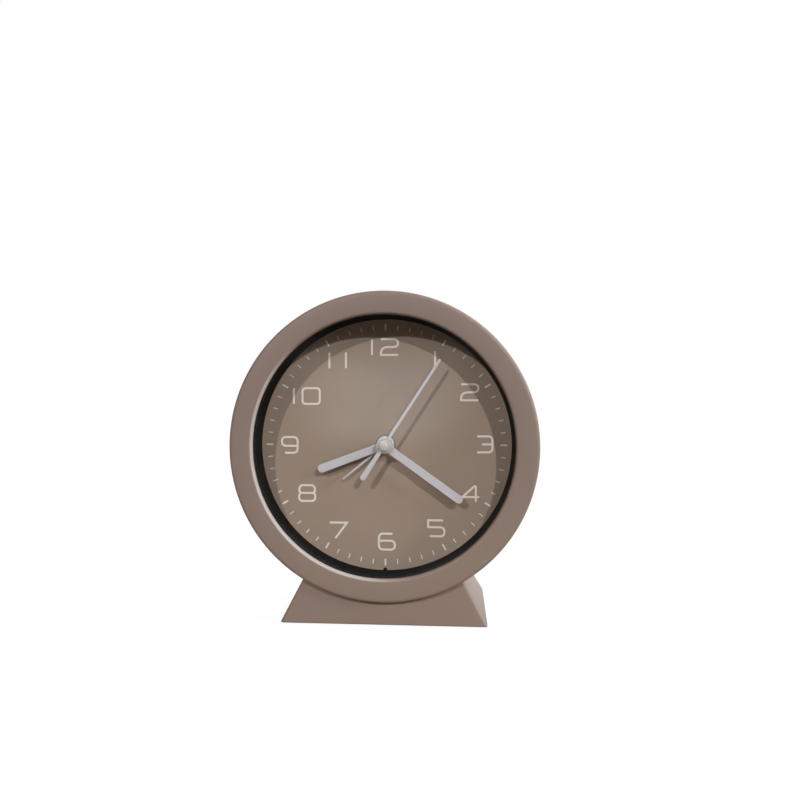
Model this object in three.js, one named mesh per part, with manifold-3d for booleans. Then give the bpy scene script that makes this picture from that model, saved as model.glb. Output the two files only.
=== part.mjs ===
// A round tabletop alarm clock on a wedge foot, in millimetres.
// World frame: +X to the right, +Y to the back, +Z up, floor at z = 0, origin under the middle of the clock.
// Pieces are drawn in a face frame: x to the right, y up, z towards the viewer.
import * as THREE from "three";
import { mergeVertices } from "three/addons/utils/BufferGeometryUtils.js";
import Module from "manifold-3d";

const wasm = await Module();
wasm.setup();

// Clearances
const GAP = 0.3;
const PRESS_GAP = 0.12;
const TUBE_GAP = 0.25;
const PIVOT_GAP = 0.2;
const SCREW_GAP = 0.25;
const CUT_MARGIN = 1;

// Roundness: sides of large, middle and small circles, and steps of a rounded corner
const LARGE_SIDES = 48;
const MIDDLE_SIDES = 20;
const SMALL_SIDES = 10;
const CORNER_STEPS = 4;

// Case: bezel ring and the drum behind it
const BEZEL_RADIUS = 74;
const BEZEL_WIDTH = 11.15;
const FLOOR_CLEARANCE = 12;
const BEZEL_SIDE_DEPTH = 4;
const BEZEL_EDGE = 3;
const BEZEL_CROWN = 0.5;
const LIP_FILLET = 1.2;
const LIP_THICKNESS = 3;
const SPIGOT_DEPTH = 4;
const DRUM_STEP = 0.6;
const CASE_WALL = 2.2;
const DRUM_REAR_EDGE = 4;

// Lens, black ring and dial
const DIAL_THICKNESS = 1.5;
const DIAL_OVERLAP = 2.1;
const LENS_THICKNESS = 2;
const LENS_OVERLAP = 2.75;
const LENS_CLEARANCE = 0.8;
const RING_WALL = 1.2;
const RING_FLANGE = 1.5;
const RING_STEP = 0.35;
const RING_TAPER = 1.3;
const RING_RIB_RADIUS = 0.85;
const RING_RIB_REACH = 1.5;
const RING_RIB_HEIGHT = 2.5;

// Foot
const BASE_SETBACK = 4.3;
const BASE_DEPTH = 70.7;
const BASE_HALF_WIDTH = 50;
const BASE_SIDE_LEAN = 0.524;
const BASE_BACK_LEAN = 0.74;
const BASE_WALL = 2.5;
const BASE_EDGE = 1.5;
const PLATE_THICKNESS = 2.2;
const PAD_RISE = 0.6;
const PAD_RECESS = 0.7;
const PAD_RADIUS = 5;
const PAD_INSET = 8;

// Screws
const SCREW_SHANK = 1.3;
const SCREW_HEAD = 2.6;
const SCREW_HEAD_HEIGHT = 1.4;
const SCREW_SLOT = 0.7;
const SCREW_SLOT_REACH = 1.8;
const SCREW_SLOT_DEPTH = 0.8;
const SCREW_WALL = 1.45;
const BOSS_CLEARANCE = 0.4;
const CASE_SCREW_ANGLES = [45, 135, 225, 315];
const CASE_SCREW_LENGTH = 16;
const CASE_SCREW_BITE = 7;
const DIAL_REST_WIDTH = 3;
const DIAL_REST_OVERLAP = 3.5;
const BASE_SCREW_SPACING = 20;
const BASE_SCREW_BITE = 4.5;
const PLATE_SCREW_X = 30;
const PLATE_SCREW_BITE = 6;
const MOVEMENT_SCREW_BITE = 3.6;

// Hands: angle clockwise from twelve, length from the axis, width
const ALARM_HAND = { angle: 231, length: 27, width: 0.9 };
const HOUR_HAND = { angle: 249.6, length: 35, width: 4.1 };
const MINUTE_HAND = { angle: 125.6, length: 46.3, width: 3.9 };
const SECOND_HAND = { angle: 33.2, length: 49.8, width: 1.4 };
const SECOND_TAIL = { length: 19.8, width: 2.5 };
const HAND_THICKNESS = 0.5;
const HAND_RISE = 2.2;
const HUB_HEIGHT = 1.2;
const HUB_WALL = 0.35;
const CAP_RADIUS = 3.2;
const CAP_HEIGHT = 1.7;
const CAP_RIM = 0.4;

// Movement case
const TRAY_CLEARANCE = 2;
const MOVEMENT_WALL = 1.6;
const MOVEMENT_CORNER = 3;
const EAR_LENGTH = 8;
const EAR_WIDTH = 8;
const EAR_THICKNESS = 1.6;
const EAR_SETBACK = 5;
const PARTITION_Y = -17;
const PARTITION_WALL = 1;
const REAR_SPACE = 3;

// Nested shafts
const ARBOR_RADIUS = 0.5;
const TUBE_WALL = 0.65;
const BUSHING_WALL = 0.9;
const BUSHING_RISE = 0.6;
const KNOB_ARBOR_RADIUS = 1;

// Wheels: teeth, distances between centres and directions seen from the front
const WHEEL_THICKNESS = 1.2;
const LAYER_GAP = 0.6;
const ROTOR_TEETH = 6;
const INTERMEDIATE_TEETH = 36;
const INTERMEDIATE_PINION_TEETH = 6;
const SECOND_TEETH = 30;
const SECOND_PINION_TEETH = 6;
const THIRD_TEETH = 45;
const THIRD_PINION_TEETH = 6;
const CENTRE_TEETH = 48;
const CANNON_TEETH = 10;
const MINUTE_TEETH = 30;
const MINUTE_PINION_TEETH = 8;
const HOUR_TEETH = 32;
const ALARM_PINION_TEETH = 10;
const ALARM_TEETH = 30;
const MOTION_DISTANCE = 13.2;
const MOTION_DIRECTION = 0;
const ALARM_DISTANCE = 13.2;
const ALARM_DIRECTION = 180;
const THIRD_DISTANCE = 12.24;
const THIRD_DIRECTION = 90;
const INTERMEDIATE_DISTANCE = 9.6;
const INTERMEDIATE_DIRECTION = 225;
const ROTOR_DISTANCE = 8.4;
const ROTOR_DIRECTION = 200;
const TOOTH_ADDENDUM = 0.75;
const TOOTH_DEDENDUM = 1.05;
const TOOTH_TIP_SHARE = 0.16;
const TOOTH_ROOT_SHARE = 0.5;
const CENTRE_WHEEL_COLLAR = 0.4;

// Stepping motor
const MAGNET_RADIUS = 2.6;
const MAGNET_HEIGHT = 2.2;
const STATOR_AIR_GAP = 0.6;
const STATOR_BAND = 2.4;
const COIL_CLEARANCE = 1;
const STATOR_TOP = 8.5;
const STATOR_STRIP_RIGHT = -16.5;
const COIL_RADIUS = 2.9;
const COIL_LENGTH = 15;
const BRIDGE_POST_RADIUS = 1.6;
const BRIDGE_POSTS = [
  [-20.5, -5.5],
  [-4, -14.6],
];
const BRIDGE_HALF_WIDTH = 2.2;

// Electrics
const BATTERY_RADIUS = 7.1;
const BATTERY_LENGTH = 49.5;
const BATTERY_NUB_RADIUS = 2.7;
const BATTERY_NUB = 1;
const BAY_BOTTOM_PLAY = 0.4;
const BATTERY_FRONT_SPACE = 2.6;
const CONTACT_THICKNESS = 0.4;
const CONTACT_SIZE = 9;
const CONTACT_BUTTON = 1.65;
const BOARD_WIDTH = 16;
const BOARD_HEIGHT = 12;
const BOARD_THICKNESS = 1.2;
const BOARD_MARGIN = 0.4;
const CRYSTAL_RADIUS = 1;
const CRYSTAL_LENGTH = 6;
const BUZZER_RADIUS = 7.5;
const BUZZER_THICKNESS = 1.6;
const BUZZER_X = -16;
const BUZZER_CLEARANCE = 0.6;
const SPRING_THICKNESS = 0.2;
const SPRING_WIDTH = 2.4;
const SPRING_ROOT = 17;
const SPRING_TIP = 8;
const SPRING_DIRECTION = 135;
const SPRING_POST_RADIUS = 1.6;

// Controls on the back
const KNOB_RADIUS = 6;
const KNOB_HEIGHT = 6.5;
const KNOB_FLUTES = 16;
const KNOB_FLUTE_DEPTH = 0.4;
const KNOB_FLOOR = 1.5;
const SWITCH_Y = 21;
const SWITCH_TRAVEL = 5;
const SWITCH_TAB_WIDTH = 4;
const SWITCH_TAB_HEIGHT = 4.5;
const SWITCH_TAB_RISE = 2;
const SWITCH_FLANGE = 1.5;
const DOOR_MARGIN = 1;
const DOOR_CORNER = 2;
const DOOR_GRIP_WIDTH = 14;
const DOOR_GRIP_HEIGHT = 3;
const DOOR_GRIP_DEPTH = 0.8;
const SOUND_SLOTS = 5;
const SOUND_SLOT_LENGTH = 11;
const SOUND_SLOT_WIDTH = 1.6;
const SOUND_SLOT_PITCH = 3.4;

// Small shape helpers: each gives a closed solid
function solid(geometry) {
  const bare = new THREE.BufferGeometry();
  const source = geometry.index ? geometry.toNonIndexed() : geometry;
  bare.setAttribute("position", source.getAttribute("position"));
  const welded = mergeVertices(bare, 1e-4);
  return new wasm.Manifold(
    new wasm.Mesh({
      numProp: 3,
      vertProperties: welded.attributes.position.array,
      triVerts: new Uint32Array(welded.index.array),
    }),
  );
}

function join(first, ...others) {
  return others.reduce((body, other) => body.add(other), first);
}

function cut(first, ...others) {
  return others.reduce((body, other) => body.subtract(other), first);
}

function points(pairs) {
  return pairs.map(([x, y]) => new THREE.Vector2(x, y));
}

// Revolves a closed outline of radius and z about the z axis.
function turned(outline, sides) {
  const loop = THREE.ShapeUtils.isClockWise(outline) ? [...outline].reverse() : outline;
  const geometry = new THREE.LatheGeometry([...loop, loop[0]], sides);
  geometry.rotateX(Math.PI / 2);
  return solid(geometry);
}

function rod(radius, z0, z1, sides, x = 0, y = 0) {
  const geometry = new THREE.CylinderGeometry(radius, radius, z1 - z0, sides);
  geometry.rotateX(Math.PI / 2);
  geometry.translate(x, y, (z0 + z1) / 2);
  return solid(geometry);
}

// A cylinder standing along y.
function post(radius, y0, y1, sides, x, z) {
  const geometry = new THREE.CylinderGeometry(radius, radius, y1 - y0, sides);
  geometry.translate(x, (y0 + y1) / 2, z);
  return solid(geometry);
}

// A cylinder lying along x.
function bar(radius, x0, x1, sides, y, z) {
  const geometry = new THREE.CylinderGeometry(radius, radius, x1 - x0, sides);
  geometry.rotateZ(-Math.PI / 2);
  geometry.translate((x0 + x1) / 2, y, z);
  return solid(geometry);
}

function box(x0, x1, y0, y1, z0, z1) {
  const geometry = new THREE.BoxGeometry(x1 - x0, y1 - y0, z1 - z0);
  geometry.translate((x0 + x1) / 2, (y0 + y1) / 2, (z0 + z1) / 2);
  return solid(geometry);
}

function plate(shape, z0, z1) {
  const geometry = new THREE.ExtrudeGeometry(shape, {
    depth: z1 - z0,
    bevelEnabled: false,
    curveSegments: CORNER_STEPS,
  });
  geometry.translate(0, 0, z0);
  return solid(geometry);
}

function roundedRectangle(x0, x1, y0, y1, corner) {
  const shape = new THREE.Shape();
  shape.moveTo(x0 + corner, y0);
  shape.lineTo(x1 - corner, y0);
  shape.absarc(x1 - corner, y0 + corner, corner, -Math.PI / 2, 0);
  shape.absarc(x1 - corner, y1 - corner, corner, 0, Math.PI / 2);
  shape.absarc(x0 + corner, y1 - corner, corner, Math.PI / 2, Math.PI);
  shape.absarc(x0 + corner, y0 + corner, corner, Math.PI, Math.PI * 1.5);
  return shape;
}

// A flat strip with round ends from one point to another.
function strip(from, to, halfWidth, z0, z1) {
  const length = Math.hypot(to[0] - from[0], to[1] - from[1]);
  const shape = new THREE.Shape();
  shape.absarc(0, 0, halfWidth, Math.PI / 2, Math.PI * 1.5);
  shape.absarc(length, 0, halfWidth, -Math.PI / 2, Math.PI / 2);
  const geometry = new THREE.ExtrudeGeometry(shape, {
    depth: z1 - z0,
    bevelEnabled: false,
    curveSegments: CORNER_STEPS,
  });
  geometry.rotateZ(Math.atan2(to[1] - from[1], to[0] - from[0]));
  geometry.translate(from[0], from[1], z0);
  return solid(geometry);
}

function polar(distance, degrees, from = [0, 0]) {
  const angle = THREE.MathUtils.degToRad(degrees);
  return [from[0] + distance * Math.cos(angle), from[1] + distance * Math.sin(angle)];
}

function material(color, roughness, metalness = 0, opacity = 1) {
  return new THREE.MeshStandardMaterial({
    color,
    roughness,
    metalness,
    opacity,
    transparent: opacity < 1,
  });
}

const TAUPE = material(0x87756b, 0.55);
const DIAL_TAUPE = material(0x8c7a6c, 0.8);
const BLACK = material(0x1c1a1a, 0.45);
const CLEAR = material(0xf4f6f6, 0.05, 0, 0.18);
const HAND_GREY = material(0xb8b5b6, 0.5);
const CAP_WHITE = material(0xc4c3bc, 0.4);
const STEEL = material(0xb9bcc0, 0.35, 0.9);
const RUBBER = material(0x2a2826, 0.9);
const MOVEMENT_GREY = material(0xd6d4cd, 0.6);
const WHEEL_PLASTIC = material(0xe4ddc8, 0.5);
const BRASS = material(0xc0a060, 0.35, 0.9);
const IRON = material(0x8d9094, 0.4, 0.8);
const COPPER = material(0xb5653a, 0.4, 0.8);
const BOARD_GREEN = material(0x2f6b45, 0.6);
const BATTERY_BLUE = material(0x33415c, 0.4);

// Case radii, from the bezel inwards
const axisHeight = BEZEL_RADIUS + FLOOR_CLEARANCE;
const lipRadius = BEZEL_RADIUS - BEZEL_WIDTH;
const lensRadius = lipRadius + LENS_OVERLAP;
const pocketRadius = lensRadius + GAP;
const ringFrontRadius = lipRadius + RING_STEP;
const ringRearRadius = ringFrontRadius - RING_TAPER;
const dialRadius = ringRearRadius + DIAL_OVERLAP;
const drumRadius = BEZEL_RADIUS - DRUM_STEP;
const drumInner = drumRadius - CASE_WALL;
const spigotRadius = drumInner - GAP;
const screwBore = SCREW_SHANK + SCREW_GAP;
const screwBoss = SCREW_SHANK + SCREW_GAP + SCREW_WALL;
const headBore = SCREW_HEAD + SCREW_GAP * 2;
const caseScrewRadius = drumInner - BOSS_CLEARANCE - screwBoss;

// The hands stand one rise apart, and the lens clears the cap on the last one
const alarmHandZ = HAND_RISE;
const hourHandZ = alarmHandZ + HAND_RISE;
const minuteHandZ = hourHandZ + HAND_RISE;
const secondHandZ = minuteHandZ + HAND_RISE;
const capRear = hubTop(secondHandZ) + GAP;
const dialSetback = capRear + CAP_HEIGHT + LENS_CLEARANCE + LENS_THICKNESS + GAP + LIP_THICKNESS;

// Two groups in the face frame: the head on the hand axis at the dial front, the foot on the floor
const frontY = -(BASE_SETBACK + BASE_DEPTH) / 2;
const clock = new THREE.Group();
const head = new THREE.Group();
head.rotation.x = Math.PI / 2;
head.position.set(0, frontY + dialSetback, axisHeight);
const foot = new THREE.Group();
foot.rotation.x = Math.PI / 2;
foot.position.set(0, frontY, 0);
clock.add(head, foot);

function add(group, name, body, look) {
  const made = body.getMesh();
  const geometry = new THREE.BufferGeometry();
  geometry.setAttribute("position", new THREE.BufferAttribute(made.vertProperties, 3));
  geometry.setIndex(new THREE.BufferAttribute(made.triVerts, 1));
  geometry.computeVertexNormals();
  const mesh = new THREE.Mesh(geometry, look);
  mesh.name = name;
  group.add(mesh);
  return mesh;
}

// Depth stack in the head frame, from the bezel back to the movement
const lensSeat = dialSetback - LIP_THICKNESS;
const lensFront = lensSeat - GAP;
const lensRear = lensFront - LENS_THICKNESS;
const ringFront = lensRear - GAP;
const bezelBack = dialSetback - BEZEL_SIDE_DEPTH;
const spigotRear = bezelBack - SPIGOT_DEPTH;
const dialRear = -DIAL_THICKNESS;
const caseFront = dialRear - GAP;
const caseFloor = caseFront - MOVEMENT_WALL;

// Front and rear faces of wheel layer number n, counted back from the movement's front wall
function layer(n) {
  const front = caseFloor - LAYER_GAP - n * (WHEEL_THICKNESS + LAYER_GAP);
  return { front, rear: front - WHEEL_THICKNESS, middle: front - WHEEL_THICKNESS / 2 };
}

const alarmLayer = layer(0);
const hourLayer = layer(1);
const minuteLayer = layer(2);
const centreLayer = layer(3);
const thirdLayer = layer(4);
const secondLayer = layer(5);
const rotorLayer = layer(6);
const statorLayer = layer(7);
const backInner = statorLayer.middle - COIL_RADIUS - LAYER_GAP;
const backOuter = backInner - MOVEMENT_WALL;
const wallInner = backOuter - REAR_SPACE;
const wallOuter = wallInner - CASE_WALL;
const caseDepth = dialSetback - wallOuter;

// A screw whose head bears on z = 0, with its shank along +z.
function screw(length) {
  const body = turned(
    points([
      [0, -SCREW_HEAD_HEIGHT],
      [SCREW_HEAD, -SCREW_HEAD_HEIGHT],
      [SCREW_HEAD, 0],
      [SCREW_SHANK, 0],
      [SCREW_SHANK, length - SCREW_SHANK],
      [0, length],
    ]),
    SMALL_SIDES,
  );
  const slotFloor = SCREW_SLOT_DEPTH - SCREW_HEAD_HEIGHT;
  const slotMouth = -SCREW_HEAD_HEIGHT - CUT_MARGIN;
  const half = SCREW_SLOT / 2;
  return cut(
    body,
    box(-SCREW_SLOT_REACH, SCREW_SLOT_REACH, -half, half, slotMouth, slotFloor),
    box(-half, half, -SCREW_SLOT_REACH, SCREW_SLOT_REACH, slotMouth, slotFloor),
  );
}

// Case screws: bosses behind the bezel meet columns in the housing near the dial
const caseScrewSpots = CASE_SCREW_ANGLES.map((angle) => polar(caseScrewRadius, angle));
const columnFront = dialRear - GAP;
const bossRear = columnFront + GAP;
const caseScrewSeat = bossRear + CASE_SCREW_BITE - CASE_SCREW_LENGTH;

function frontBezel() {
  const crownEdge = dialSetback - BEZEL_CROWN;
  const crestRadius = (lipRadius + BEZEL_RADIUS) / 2;
  const outline = new THREE.Path();
  outline.moveTo(lipRadius, lensSeat);
  outline.lineTo(lipRadius, crownEdge - LIP_FILLET);
  outline.quadraticCurveTo(lipRadius, crownEdge, lipRadius + LIP_FILLET, crownEdge);
  outline.quadraticCurveTo(crestRadius, dialSetback + BEZEL_CROWN, BEZEL_RADIUS - BEZEL_EDGE, crownEdge);
  outline.quadraticCurveTo(BEZEL_RADIUS, crownEdge, BEZEL_RADIUS, crownEdge - BEZEL_EDGE);
  outline.lineTo(BEZEL_RADIUS, bezelBack);
  outline.lineTo(spigotRadius, bezelBack);
  outline.lineTo(spigotRadius, spigotRear);
  outline.lineTo(pocketRadius, spigotRear);
  outline.lineTo(pocketRadius, lensSeat);
  const ring = turned(outline.getPoints(CORNER_STEPS), LARGE_SIDES);
  const bosses = caseScrewSpots.map(([x, y]) =>
    rod(screwBoss, bossRear, spigotRear + GAP, SMALL_SIDES, x, y),
  );
  const boreEnd = bossRear + CASE_SCREW_BITE + CUT_MARGIN;
  const bores = caseScrewSpots.map(([x, y]) =>
    rod(screwBore, bossRear - CUT_MARGIN, boreEnd, SMALL_SIDES, x, y),
  );
  return cut(join(ring, ...bosses), ...bores);
}

add(head, "front_bezel", frontBezel(), TAUPE);
add(head, "lens", rod(lensRadius, lensRear, lensFront, LARGE_SIDES), CLEAR);

// Black ring between lens and dial, with a small rib at six o'clock
function dialRing() {
  const rear = GAP;
  const ring = turned(
    points([
      [ringRearRadius, rear],
      [ringRearRadius + RING_WALL, rear],
      [ringFrontRadius + RING_WALL, ringFront - RING_FLANGE],
      [lensRadius, ringFront - RING_FLANGE],
      [lensRadius, ringFront],
      [ringFrontRadius, ringFront],
    ]),
    LARGE_SIDES,
  );
  const ribY = RING_RIB_REACH - RING_RIB_RADIUS - ringRearRadius;
  const rib = rod(RING_RIB_RADIUS, rear, rear + RING_RIB_HEIGHT, SMALL_SIDES, 0, ribY);
  return join(ring, rib);
}

add(head, "dial_ring", dialRing(), BLACK);

// Shafts on the hand axis, one inside the other
const minuteBore = ARBOR_RADIUS + TUBE_GAP;
const minuteTube = minuteBore + TUBE_WALL;
const hourBore = minuteTube + TUBE_GAP;
const hourTube = hourBore + TUBE_WALL;
const alarmBore = hourTube + TUBE_GAP;
const alarmTube = alarmBore + TUBE_WALL;
const bushingBore = alarmTube + TUBE_GAP;
const bushingRadius = bushingBore + BUSHING_WALL;
const hubRadius = alarmTube + PRESS_GAP + HUB_WALL;

// Wheel centres
const motionSpot = polar(MOTION_DISTANCE, MOTION_DIRECTION);
const alarmSpot = polar(ALARM_DISTANCE, ALARM_DIRECTION);
const thirdSpot = polar(THIRD_DISTANCE, THIRD_DIRECTION);
const intermediateSpot = polar(INTERMEDIATE_DISTANCE, INTERMEDIATE_DIRECTION);
const rotorSpot = polar(ROTOR_DISTANCE, ROTOR_DIRECTION, intermediateSpot);

function moduleOf(distance, teethA, teethB) {
  return (2 * distance) / (teethA + teethB);
}

const rotorModule = moduleOf(ROTOR_DISTANCE, ROTOR_TEETH, INTERMEDIATE_TEETH);
const secondModule = moduleOf(INTERMEDIATE_DISTANCE, INTERMEDIATE_PINION_TEETH, SECOND_TEETH);
const thirdModule = moduleOf(THIRD_DISTANCE, SECOND_PINION_TEETH, THIRD_TEETH);
const centreModule = moduleOf(THIRD_DISTANCE, THIRD_PINION_TEETH, CENTRE_TEETH);
const minuteModule = moduleOf(MOTION_DISTANCE, CANNON_TEETH, MINUTE_TEETH);
const hourModule = moduleOf(MOTION_DISTANCE, MINUTE_PINION_TEETH, HOUR_TEETH);
const alarmModule = moduleOf(ALARM_DISTANCE, ALARM_PINION_TEETH, ALARM_TEETH);

function tipRadius(teeth, module) {
  return (teeth / 2 + TOOTH_ADDENDUM) * module;
}

// Movement case: as wide as the battery and its contacts, up past the third wheel and down past the battery
const trayInner = BATTERY_LENGTH / 2 + BATTERY_NUB + GAP + CONTACT_BUTTON + CONTACT_THICKNESS + GAP;
const movementHalfWidth = trayInner + MOVEMENT_WALL;
const trayTop = thirdSpot[1] + tipRadius(THIRD_TEETH, thirdModule) + TRAY_CLEARANCE;
const movementTop = trayTop + MOVEMENT_WALL;
const batteryY = PARTITION_Y - PARTITION_WALL - GAP - BATTERY_RADIUS;
const trayBottom = batteryY - BATTERY_RADIUS - BAY_BOTTOM_PLAY;
const movementBottom = trayBottom - MOVEMENT_WALL;

// The dial carries two bosses on its back that the movement's ears are screwed to
const earX = movementHalfWidth + EAR_LENGTH / 2 + GAP;
const earFront = dialRear - EAR_SETBACK - GAP;
const earRear = earFront - EAR_THICKNESS;

function dial() {
  const disc = rod(dialRadius, dialRear, 0, LARGE_SIDES);
  const bosses = [-earX, earX].map((x) =>
    rod(screwBoss, dialRear - EAR_SETBACK, dialRear / 2, SMALL_SIDES, x),
  );
  const bores = [-earX, earX].map((x) => rod(screwBore, earFront, dialRear, SMALL_SIDES, x));
  const centreHole = rod(bushingRadius + GAP, dialRear - CUT_MARGIN, CUT_MARGIN, MIDDLE_SIDES);
  return cut(join(disc, ...bosses), centreHole, ...bores);
}

add(head, "dial", dial(), DIAL_TAUPE);

// Hands: each hub is pressed on the front end of its shaft
function hubTop(handZ) {
  return handZ + HUB_HEIGHT / 2;
}

function hand(spec, handZ, shaft, tail) {
  const direction = 90 - spec.angle;
  const back = handZ - HAND_THICKNESS / 2;
  const front = handZ + HAND_THICKNESS / 2;
  const tip = polar(spec.length - spec.width / 2, direction);
  const blade = strip([0, 0], tip, spec.width / 2, back, front);
  const hub = rod(hubRadius, handZ - HUB_HEIGHT / 2, hubTop(handZ), MIDDLE_SIDES);
  const parts = [hub];
  if (tail) {
    const tailEnd = polar(tail.length - tail.width / 2, direction + 180);
    parts.push(strip([0, 0], tailEnd, tail.width / 2, back, front));
  }
  const bore = rod(shaft + PRESS_GAP, handZ - HUB_HEIGHT, handZ + HUB_HEIGHT, MIDDLE_SIDES);
  return cut(join(blade, ...parts), bore);
}

add(head, "alarm_hand", hand(ALARM_HAND, alarmHandZ, alarmTube), HAND_GREY);
add(head, "hour_hand", hand(HOUR_HAND, hourHandZ, hourTube), HAND_GREY);
add(head, "minute_hand", hand(MINUTE_HAND, minuteHandZ, minuteTube), HAND_GREY);
add(head, "second_hand", hand(SECOND_HAND, secondHandZ, ARBOR_RADIUS, SECOND_TAIL), HAND_GREY);

function handCap() {
  const front = capRear + CAP_HEIGHT;
  const outline = new THREE.Path();
  outline.moveTo(0, capRear);
  outline.lineTo(CAP_RADIUS, capRear);
  outline.lineTo(CAP_RADIUS, capRear + CAP_RIM);
  outline.quadraticCurveTo(CAP_RADIUS, front, 0, front);
  return turned(outline.getPoints(CORNER_STEPS), MIDDLE_SIDES);
}

add(head, "hand_cap", handCap(), CAP_WHITE);

// Toothed disc: straight-sided teeth with generous play, the first one at the phase angle.
function gear(teeth, module, phase, { front, rear }, [x, y] = [0, 0]) {
  const tip = tipRadius(teeth, module);
  const root = (teeth / 2 - TOOTH_DEDENDUM) * module;
  const step = (Math.PI * 2) / teeth;
  const rootHalf = (step * TOOTH_ROOT_SHARE) / 2;
  const tipHalf = (step * TOOTH_TIP_SHARE) / 2;
  const corner = (radius, angle) => [x + radius * Math.cos(angle), y + radius * Math.sin(angle)];
  const outline = [];
  for (let tooth = 0; tooth < teeth; tooth += 1) {
    const middle = phase + tooth * step;
    outline.push(corner(root, middle - rootHalf));
    outline.push(corner(tip, middle - tipHalf));
    outline.push(corner(tip, middle + tipHalf));
    outline.push(corner(root, middle + rootHalf));
  }
  return plate(new THREE.Shape(points(outline)), rear, front);
}

// Phase of a wheel whose gap meets the tooth of its mate, where the mate's first tooth is at angle 0.
function meshPhase(mateTeeth, degrees, teeth) {
  const direction = THREE.MathUtils.degToRad(degrees);
  const pitchesPastTooth = (direction * mateTeeth) / (Math.PI * 2);
  return direction + Math.PI - ((Math.PI * 2) / teeth) * (0.5 - pitchesPastTooth);
}

const pivotFront = caseFloor + MOVEMENT_WALL / 2;
const pivotRear = backOuter + MOVEMENT_WALL / 2;
const bridgePivot = thirdLayer.middle;

function rotor() {
  const pinion = gear(ROTOR_TEETH, rotorModule, 0, rotorLayer, rotorSpot);
  const magnetRear = statorLayer.middle - MAGNET_HEIGHT / 2;
  const magnet = rod(MAGNET_RADIUS, magnetRear, magnetRear + MAGNET_HEIGHT, MIDDLE_SIDES, ...rotorSpot);
  return join(pinion, magnet, rod(ARBOR_RADIUS, pivotRear, bridgePivot, SMALL_SIDES, ...rotorSpot));
}

function intermediateWheel() {
  const phase = meshPhase(ROTOR_TEETH, ROTOR_DIRECTION + 180, INTERMEDIATE_TEETH);
  const wheel = gear(INTERMEDIATE_TEETH, rotorModule, phase, rotorLayer, intermediateSpot);
  const pinionLayer = { front: secondLayer.front, rear: rotorLayer.front };
  const pinion = gear(INTERMEDIATE_PINION_TEETH, secondModule, 0, pinionLayer, intermediateSpot);
  return join(wheel, pinion, rod(ARBOR_RADIUS, pivotRear, bridgePivot, SMALL_SIDES, ...intermediateSpot));
}

function secondWheel() {
  const phase = meshPhase(INTERMEDIATE_PINION_TEETH, INTERMEDIATE_DIRECTION + 180, SECOND_TEETH);
  const wheel = gear(SECOND_TEETH, secondModule, phase, secondLayer);
  const pinionLayer = { front: thirdLayer.front, rear: secondLayer.front };
  const pinion = gear(SECOND_PINION_TEETH, thirdModule, 0, pinionLayer);
  return join(wheel, pinion, rod(ARBOR_RADIUS, pivotRear, hubTop(secondHandZ), SMALL_SIDES));
}

function thirdWheel() {
  const phase = meshPhase(SECOND_PINION_TEETH, THIRD_DIRECTION, THIRD_TEETH);
  const wheel = gear(THIRD_TEETH, thirdModule, phase, thirdLayer, thirdSpot);
  const pinionLayer = { front: centreLayer.front, rear: thirdLayer.front };
  const pinion = gear(THIRD_PINION_TEETH, centreModule, 0, pinionLayer, thirdSpot);
  return join(wheel, pinion, rod(ARBOR_RADIUS, pivotRear, pivotFront, SMALL_SIDES, ...thirdSpot));
}

function centreWheel() {
  const phase = meshPhase(THIRD_PINION_TEETH, THIRD_DIRECTION + 180, CENTRE_TEETH);
  const wheel = gear(CENTRE_TEETH, centreModule, phase, centreLayer);
  const bore = rod(
    minuteTube + PRESS_GAP, centreLayer.rear - CUT_MARGIN, centreLayer.front + CUT_MARGIN, SMALL_SIDES,
  );
  return cut(wheel, bore);
}

// The minute tube turns in the hour tube and carries the centre wheel on its tail.
function cannonPinion() {
  const pinion = gear(CANNON_TEETH, minuteModule, 0, minuteLayer);
  const shaft = rod(minuteTube, centreLayer.rear - CENTRE_WHEEL_COLLAR, hubTop(minuteHandZ), SMALL_SIDES);
  const bore = rod(minuteBore, centreLayer.rear - CUT_MARGIN, hubTop(minuteHandZ) + CUT_MARGIN, SMALL_SIDES);
  return cut(join(pinion, shaft), bore);
}

const knobRear = wallOuter - GAP - KNOB_HEIGHT;
const knobArborRear = knobRear + KNOB_FLOOR + GAP;

function minuteWheel() {
  const phase = meshPhase(CANNON_TEETH, MOTION_DIRECTION, MINUTE_TEETH);
  const wheel = gear(MINUTE_TEETH, minuteModule, phase, minuteLayer, motionSpot);
  const pinionLayer = { front: hourLayer.front, rear: minuteLayer.front };
  const pinion = gear(MINUTE_PINION_TEETH, hourModule, 0, pinionLayer, motionSpot);
  return join(wheel, pinion, rod(KNOB_ARBOR_RADIUS, knobArborRear, pivotFront, SMALL_SIDES, ...motionSpot));
}

function hourWheel() {
  const phase = meshPhase(MINUTE_PINION_TEETH, MOTION_DIRECTION + 180, HOUR_TEETH);
  const wheel = gear(HOUR_TEETH, hourModule, phase, hourLayer);
  const shaft = rod(hourTube, hourLayer.rear, hubTop(hourHandZ), SMALL_SIDES);
  const bore = rod(hourBore, hourLayer.rear - CUT_MARGIN, hubTop(hourHandZ) + CUT_MARGIN, SMALL_SIDES);
  return cut(join(wheel, shaft), bore);
}

function alarmWheel() {
  const phase = meshPhase(ALARM_PINION_TEETH, ALARM_DIRECTION + 180, ALARM_TEETH);
  const wheel = gear(ALARM_TEETH, alarmModule, phase, alarmLayer);
  const shaft = rod(alarmTube, alarmLayer.rear, hubTop(alarmHandZ), SMALL_SIDES);
  const bore = rod(alarmBore, alarmLayer.rear - CUT_MARGIN, hubTop(alarmHandZ) + CUT_MARGIN, SMALL_SIDES);
  return cut(join(wheel, shaft), bore);
}

function alarmPinion() {
  const pinion = gear(ALARM_PINION_TEETH, alarmModule, 0, alarmLayer, alarmSpot);
  return join(pinion, rod(KNOB_ARBOR_RADIUS, knobArborRear, pivotFront, SMALL_SIDES, ...alarmSpot));
}

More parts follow.
